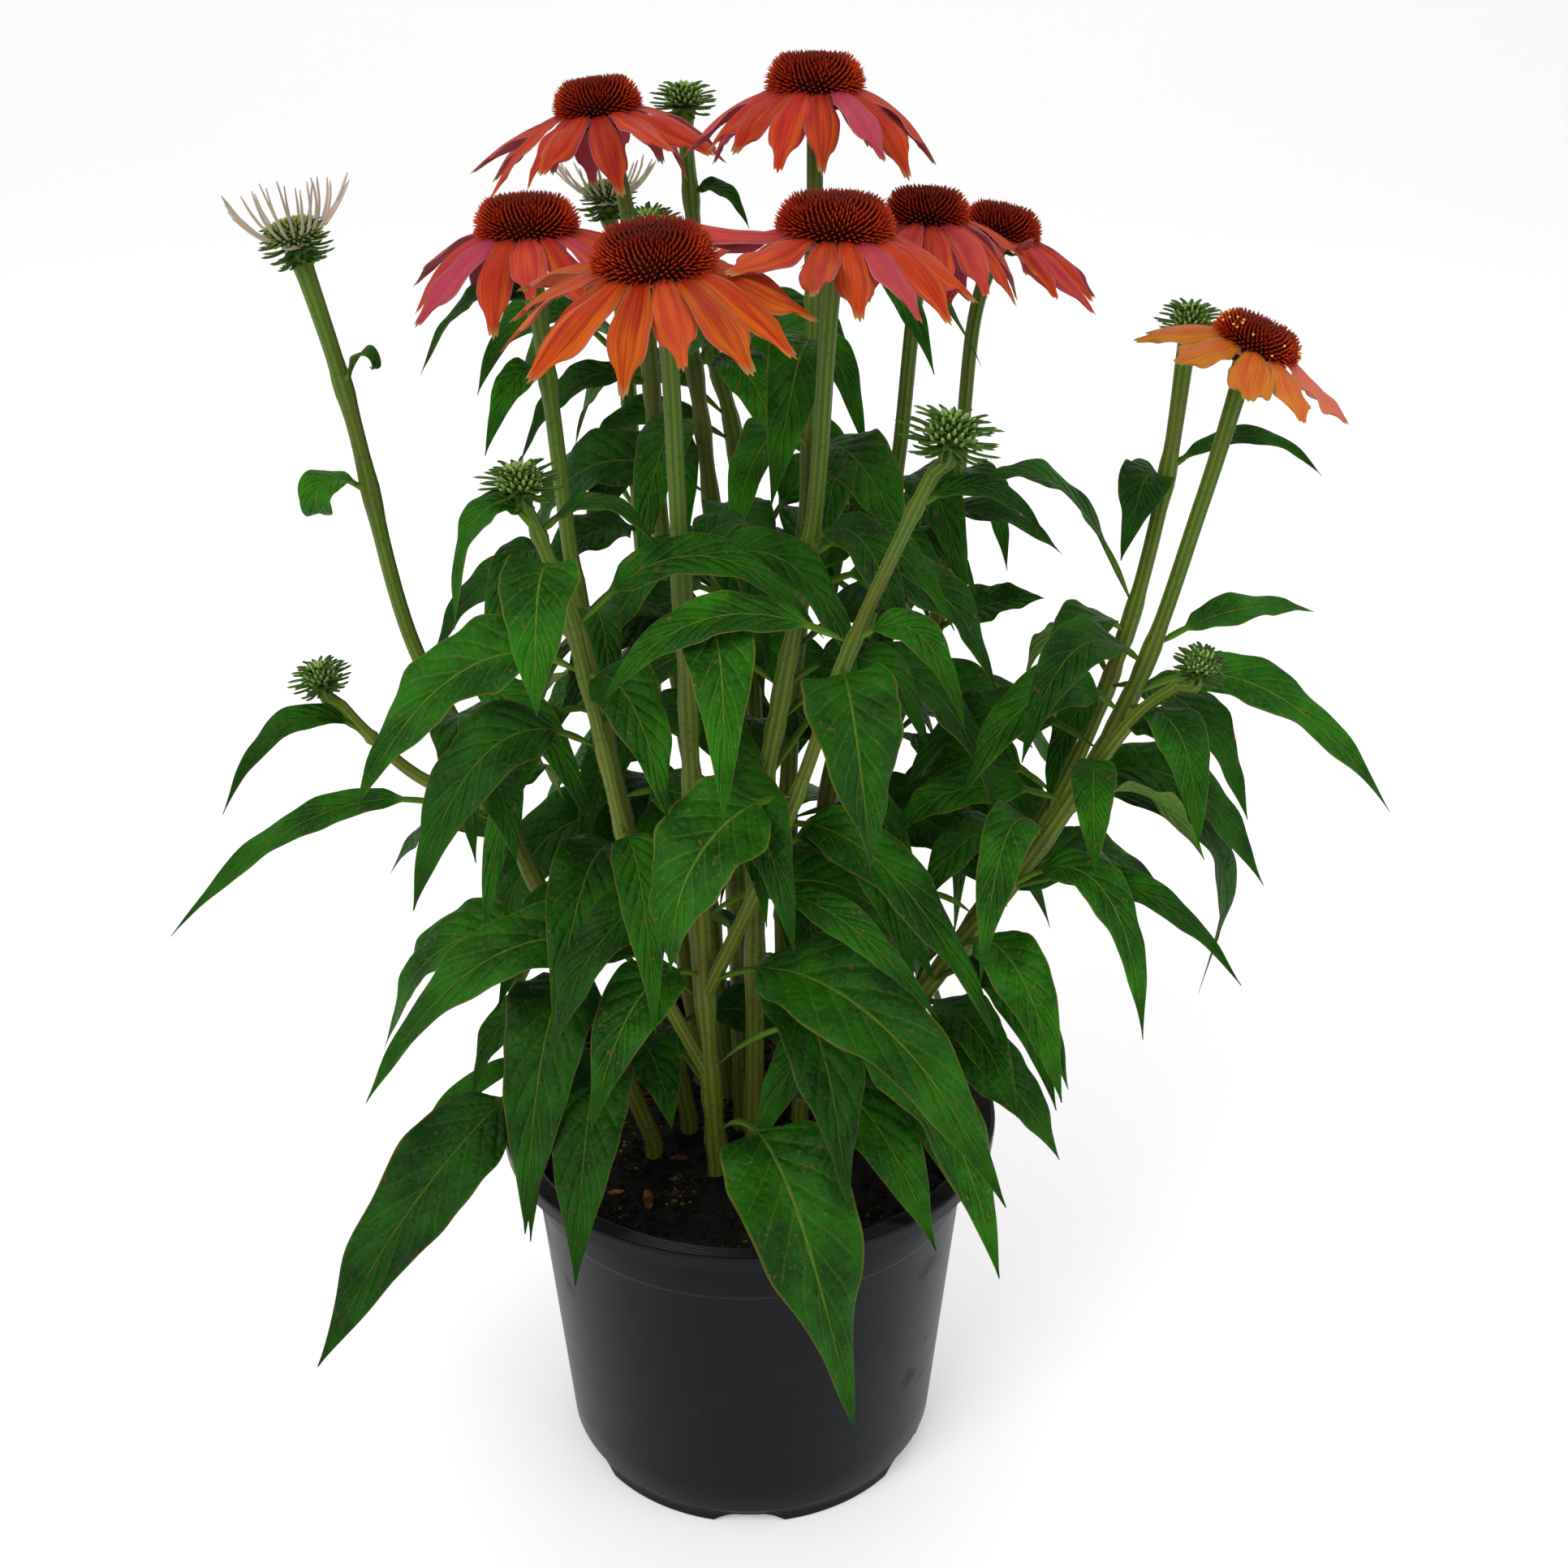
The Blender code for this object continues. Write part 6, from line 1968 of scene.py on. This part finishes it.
@dataclass
class PetalRing:
    """The petals of one head on the small disc that bears them."""

    bloom: Bloom
    droops: Sequence[float | None]
    finish: PetalFinish
    around: int = 20
    along: int = 24
    thickness: float = 0.00055
    arch: float = 0.34
    groove: float = 0.00028
    sags: tuple = (-22, -12, -8, -4, 0, 3)
    young_sags: tuple = (14, 46)

    def __post_init__(self) -> None:
        """Look up what follows from the bloom's kind, and the shares along a petal."""
        self.young = self.bloom.kind is Kind.YOUNG
        self.form = PETAL_FORMS[self.bloom.kind]
        self.shares = [j / self.along for j in range(self.along + 1)]

    def width_at(self, v: float) -> float:
        """Return a petal's width at share v, as a share of its widest."""
        if self.young:
            return float(0.60 + 0.20 * smooth_step(v, 0, 0.3) - 0.50 * smooth_step(v, 0.45, 1.0))
        opened = 0.36 + 0.64 * smooth_step(v, 0.0, 0.50)
        return float(opened * (1 - 0.64 * smooth_step(v, 0.62, 1.0)))

    def placed(self, flat: Sequence[Section], draw: random.Random, sway: float,
               under: int) -> list[Section]:
        """Roll, curl and lift a petal's sections.

        Args:
            flat: The sections as the solid has them.
            draw: Where the roll and the curl are drawn from.
            sway: How far the tip swings sideways.
            under: 1 for a petal that lies a little lower than its neighbours, or 0.

        Returns:
            The sections, still round the bloom's own axis.
        """
        form = self.form
        roll = math.radians(draw.uniform(-form.roll, form.roll))
        curl = math.radians(draw.uniform(-25, 35)) * form.curl
        placed = []
        for v, row in zip(self.shares, flat):
            rolled = Matrix.Rotation(roll * v, 3, row.normal.cross(row.side))
            dip = Matrix.Rotation(-curl * v * v, 3, row.side)
            raised = form.shoulder * float(smooth_step(v, 0.0, 0.15)) * (1 - 0.35 * v) + form.out
            shift = row.side * (sway * v * v) - row.normal * (0.0007 * under * min(1.0, 4 * v))
            shift += UP * raised
            shift += UP.cross(row.side) * form.out
            placed.append(replace(row, centre=row.centre + shift, side=rolled @ row.side,
                                  normal=dip @ rolled @ row.normal, thickness=self.thickness))
        if form.hinge:
            hinge = Matrix.Translation(placed[0].centre)
            lifted = Matrix.Rotation(math.radians(form.hinge), 4, placed[0].side)
            placed = swept(placed, hinge @ lifted @ hinge.inverted())
        return placed

    def relief(self, sections: Sequence[Section], draw: random.Random,
               arch: float) -> tuple[np.ndarray, np.ndarray]:
        """Shape a petal's face and the teeth at its tip.

        Args:
            sections: The petal's sections.
            draw: Where the ripple is drawn from.
            arch: How far the edges hang below the middle, as a share of the half width.

        Returns:
            How far each point is lifted, and how far it is drawn back from the tip.
        """
        sideways, _ = skin_columns(self.around)
        furrows = np.exp(-((np.abs(sideways) - 0.38) / 0.16) ** 2)
        ripple = [draw.uniform(0, 6.28) for _ in range(3)]
        rise, back = [], []
        for v, row in zip(self.shares, sections):
            full = smooth_step(v, 0.02, 0.25)
            left, right, twist = (math.sin(k * v + r) for k, r in zip((13, 15, 6), ripple))
            crest = np.where(sideways < 0, left, right) * sideways ** 2 + 0.6 * twist * sideways
            rise.append(-arch * row.half * sideways ** 2 * (0.5 + 0.5 * full)
                        - self.groove * furrows * full + 0.13 * row.half * crest * full)
            teeth = 0.040 * (1 - np.cos(3 * math.pi * sideways)) / 2 + 0.10 * np.abs(sideways) ** 3
            back.append(teeth * self.bloom.petal_length * smooth_step(v, 0.72, 1.0))
        return np.array(rise), np.array(back) * (not self.young)

    def petal(self, index: int, extra: float, material: Material, turn: float = 0.0) -> Item:
        """Wrap one petal.

        Args:
            index: Its place in the ring.
            extra: What its droop is more than the bloom's own.
            material: What it is made of.
            turn: How far round the ring it is shifted.

        Returns:
            The petal.
        """
        bloom = self.bloom
        draw = random.Random(f"{bloom.stem} look of petal {index} {turn:.0f}")
        grown = draw.uniform(0.86, 1.0)
        sway = draw.uniform(-0.09, 0.09) * bloom.petal_length
        arch = self.arch * draw.uniform(0.5, 1.7)
        sag = draw.uniform(*self.young_sags) if self.young else draw.choice(self.sags)
        widths = [self.width_at(v) * self.form.breadth for v in self.shares]
        flat = petal_rows(bloom, index, extra + sag, [grown * v for v in self.shares], widths)
        placed = self.placed(flat, draw, sway, index % 2)
        spin = Matrix.Rotation(math.radians(turn), 4, "Z")
        placed = swept(placed, ring_frame(bloom) @ spin)
        points = flat_rows(placed, self.around, *self.relief(placed, draw, arch))
        tone = draw.uniform(-0.5, 0.5)
        if bloom.kind is Kind.RIPE:
            tone = 0.5 * math.cos(math.tau * (index + 0.5) / bloom.petal_count)
        return SKINS.wrap("petal", points, tone, material)

    def build(self) -> Item:
        """Build the ring."""
        material = self.finish.material()
        radius = DISC_SHARE * self.bloom.cone_radius
        half = DISC_THICKNESS / 2
        rings = ((0, -half), (radius * 0.9, -half), (radius, -half * 0.5), (radius, half * 0.5),
                 (radius * 0.9, half), (0, half))
        disc = turned("disc", rings, 32)
        disc.data.transform(ring_frame(self.bloom))
        disc.data.materials.append(material)
        items = [disc]
        turns = (0.0, 180 / self.bloom.petal_count) if self.young else (0.0,)
        for index, extra in enumerate(self.droops):
            if extra is not None:
                items += [self.petal(index, extra, material, turn) for turn in turns]
        ring = join("petal_ring_" + self.bloom.stem, items)
        shade_round(ring, 75)
        declare(ring, "petals_" + self.bloom.stem)
        return ring


@dataclass(frozen=True)
class ConeForm:
    """How one kind of head is covered.

    A bloom has so many spines at a cone radius of 18 mm. Its dome is slimmer and lower than the
    solid by two lengths, and lifted off its foot by a third.
    """

    slot: str
    body: GroundFinish
    spines: SpineFinish
    spine_count: int
    spine_length: float
    spine_width: float
    top_share: float
    slimmer: float = 0.0
    lower: float = 0.0
    lifted: float = 0.0
    waist: float = 0.42
    raised: float = 0.10
    pollen_grains: int = 0


OPEN_CONE = ConeForm("cone_rust", DARK_BODY, RUST_SPINES, 800, 0.0043, 0.00044, 0.34, 0.0028,
                     0.0018, 0.0009, 0.20)
CONE_FORMS = {
    Kind.OPEN: OPEN_CONE,
    Kind.RIPE: replace(OPEN_CONE, spine_length=0.0036, lower=0.0040, pollen_grains=34),
    Kind.YOUNG: ConeForm("cone_young", YOUNG_BODY, YOUNG_SPINES, 760, 0.0026, 0.00055, 0.6,
                         0.0012, 0.0026),
}
BUD_FORM = ConeForm("bud_green", YOUNG_BODY, GREEN_SPINES, 70, 0.0032, 0.00085, 0.8,
                    lower=0.0014, raised=0.9)
BUD_DOME_SHARE = 0.74
SPINE_PROFILE = ((0, 0), (1, 0), (0.85, 0.45), (0.45, 0.85), (0, 1))
GRAIN_PROFILE = ((0, 0.8), (1, 0.9), (1.1, 1.0), (0, 1.1))


@dataclass
class Cone:
    """A dome set with stiff spines in a spiral."""

    name: str
    node: str
    foot: Vector
    axis: Vector
    radius: float
    height: float
    spine_count: int
    form: ConeForm

    def height_at(self, up: float) -> float:
        """Return the height above the foot of a level of the ball, from its waist at 0."""
        return (up + self.form.waist) / (1 + self.form.waist) * self.height

    def dome(self) -> Item:
        """Model the dome by cutting a ball below its waist and drawing its base in."""
        waist = self.form.waist
        start_fresh()
        bpy.ops.mesh.primitive_uv_sphere_add(segments=32, ring_count=20, radius=1)
        with editing() as item:
            bpy.ops.mesh.bisect(plane_co=(0, 0, -waist), plane_no=(0, 0, 1), use_fill=True,
                                clear_inner=True)
            bpy.ops.mesh.inset(thickness=0.12, depth=0.06)
            bpy.ops.mesh.select_all(action="SELECT")
            bpy.ops.transform.translate(value=(0, 0, waist))
            size = (self.radius, self.radius, self.height / (1 + waist))
            bpy.ops.transform.resize(value=size, center_override=(0, 0, 0))
            bpy.ops.mesh.normals_make_consistent(inside=False)
        item.data.transform(axis_frame(self.foot, self.axis))
        item.data.materials.append(self.form.body.material())
        item.data.shade_smooth()
        return item

    def places(self) -> list[Matrix]:
        """Return where each spine stands, in golden-angle order from the top."""
        form = self.form
        draw = random.Random("spines " + self.name)
        place = axis_frame(self.foot, self.axis)
        matrices = []
        for k in range(self.spine_count):
            share = (k + 0.5) / self.spine_count
            up = 1 - share * (1 + form.waist * 0.94)
            out = level(k * GOLDEN_ANGLE) * math.sqrt(max(0.0, 1 - up * up))
            spot = Vector((out.x * self.radius, out.y * self.radius, self.height_at(up)))
            lean = Vector([draw.uniform(-0.08, 0.08) for _ in range(3)])
            raised = form.raised + 0.36 * smooth_step(up, -form.waist, 0.40)
            axis = Vector((out.x, out.y, up * self.radius / self.height + raised)) + lean
            grown = form.top_share + (1 - form.top_share) * smooth_step(share, 0.0, 0.3)
            length = form.spine_length * grown * draw.uniform(0.88, 1.1)
            matrices.append(place @ standing(spot * 0.97, axis.normalized(), form.spine_width,
                                             length, draw.uniform(0, 6)))
        return matrices

    def build(self, spine: Mesh) -> Item:
        """Build the dome and set its spines."""
        places = self.places()
        low = np.linspace(0, 1, self.spine_count)
        spines = scatter("spines", spine, places, self.form.spines.material(), low)
        items = [self.dome(), spines]
        if self.form.pollen_grains:
            draw = random.Random("pollen")
            band = places[len(places) * 2 // 5:len(places) * 9 // 10]
            grain = turned_mesh(GRAIN_PROFILE, 5)
            picked = draw.sample(band, self.form.pollen_grains)
            items.append(scatter("pollen", grain, picked, POLLEN.material()))
        cone = join(self.name, items, 0)
        declare(cone, self.node)
        return cone


@dataclass
class Studio:
    """A pale floor that curves up behind, soft lamps and the camera."""

    floor_size: float = 9.0
    curve: float = 1.5
    lamps: tuple = (
        ((-1.3, -1.9, 2.2), 1.5, 38, (1.0, 0.985, 0.96)),
        ((1.9, -1.2, 1.5), 1.8, 12, (0.96, 0.98, 1.0)),
        ((0.2, 1.4, 2.6), 1.6, 12, (1.0, 1.0, 1.0)),
    )
    world_strength: float = 0.62

    def floor(self) -> Item:
        """Model the floor, drawn up at the back in one soft curve."""
        start_fresh()
        bpy.ops.mesh.primitive_plane_add(size=self.floor_size)
        item = bpy.context.object
        item.name = "pale_floor"
        far = self.floor_size / 2
        near_wall = far - 0.01
        pick_edges(item, lambda a, b: min(a.y, b.y) > near_wall)
        bpy.ops.object.mode_set(mode="EDIT")
        bpy.ops.mesh.select_mode(type="EDGE")
        bpy.ops.mesh.extrude_region_move(TRANSFORM_OT_translate={"value": (0, 0, far)})
        bpy.ops.object.mode_set(mode="OBJECT")
        bevel(item, lambda a, b: min(a.y, b.y) > near_wall and max(a.z, b.z) < 0.01,
              self.curve, 24)
        item.data.materials.append(FloorFinish().material())
        item.data.shade_smooth()
        return item

    def light(self) -> None:
        """Hang the lamps and light the world softly."""
        for order, (place, size, power, colour) in enumerate(self.lamps):
            data = bpy.data.lights.new(f"lamp_{order}", "AREA")
            data.size = size
            data.energy = power
            data.color = colour
            lamp = bpy.data.objects.new(data.name, data)
            bpy.context.scene.collection.objects.link(lamp)
            lamp.location = place
            towards = Vector((0, 0, 0.25)) - Vector(place)
            lamp.rotation_euler = towards.to_track_quat("-Z", "Y").to_euler()
        world = bpy.data.worlds.new("soft_white")
        world.use_nodes = True
        background = world.node_tree.nodes["Background"]
        background.inputs["Color"].default_value = (1, 1, 1, 1)
        background.inputs["Strength"].default_value = self.world_strength
        bpy.context.scene.world = world
        bpy.context.scene.view_settings.view_transform = "Standard"

    def camera(self) -> None:
        """Set up the camera where the photograph was taken from."""
        data = bpy.data.cameras.new("camera")
        data.sensor_width = SENSOR_WIDTH
        data.lens = FOCAL_LENGTH_PIXELS / FRAME_WIDTH * SENSOR_WIDTH
        camera = bpy.data.objects.new("camera", data)
        bpy.context.scene.collection.objects.link(camera)
        camera.location = CAMERA_PLACE
        camera.rotation_euler = (math.radians(90 - CAMERA_PITCH), 0, 0)
        bpy.context.scene.camera = camera

    def build(self) -> None:
        """Set up the studio."""
        self.floor()
        self.light()
        self.camera()


PETAL_FINISHES = {
    "centre": ORANGE_PETALS, "inner_right": CORAL_PETALS, "inner_left": RED_PETALS,
    "back_left": RED_PETALS, "back_tall": RED_PETALS, "mid_right": CORAL_PETALS,
    "back_right": RED_PETALS, "right": YELLOW_PETALS, "left": YOUNG_PETALS,
    "rear_left": YOUNG_PETALS,
}


def build_shoots(garden: Garden) -> None:
    """Build every shoot."""
    hair = turned_mesh(((0, 0), (1, 0), (0, 1)), 3)
    finishes = (StemFinish(), LeafFinish(), BRACT_LEAVES, HAIR)
    greens = Greens(*(finish.material() for finish in finishes))
    for name in MAIN_STEMS:
        Shoot(name, garden.leaves, greens).build(hair)


def build_heads(garden: Garden) -> None:
    """Build every bloom, young head and bud."""
    spine = turned_mesh(SPINE_PROFILE, 5)
    for bloom in BLOOMS:
        PetalRing(bloom, garden.droops[bloom.stem], PETAL_FINISHES[bloom.stem]).build()
        form = CONE_FORMS[bloom.kind]
        foot, axis = head_place(bloom.stem)
        foot = foot + (2 * GAP + DISC_THICKNESS) * axis
        node = "cone_" + bloom.stem
        count = round(form.spine_count * (bloom.cone_radius / 0.018) ** 2)
        Cone(node + "_spiny", node, foot + form.lifted * axis, axis,
             bloom.cone_radius - form.slimmer, bloom.cone_height - form.lower, count,
             form).build(spine)
    for bud in BUDS:
        foot, axis = head_place(bud.stem)
        node = "bud_" + bud.stem
        Cone(node + "_green", node, foot + GAP * axis, axis, bud.radius * BUD_DOME_SHARE,
             bud.height - BUD_FORM.lower, BUD_FORM.spine_count, BUD_FORM).build(spine)


def main() -> None:
    """Build the plant in its pot, the studio and the camera, and note the sizes."""
    logging.basicConfig(level=logging.INFO, format="%(name)s: %(message)s")
    garden = Garden()
    LOG.info("%d leaves have room", len(garden.leaves))
    Pot().build()
    Soil().build()
    build_shoots(garden)
    build_heads(garden)
    Studio().build()


if __name__ == "__main__":
    main()
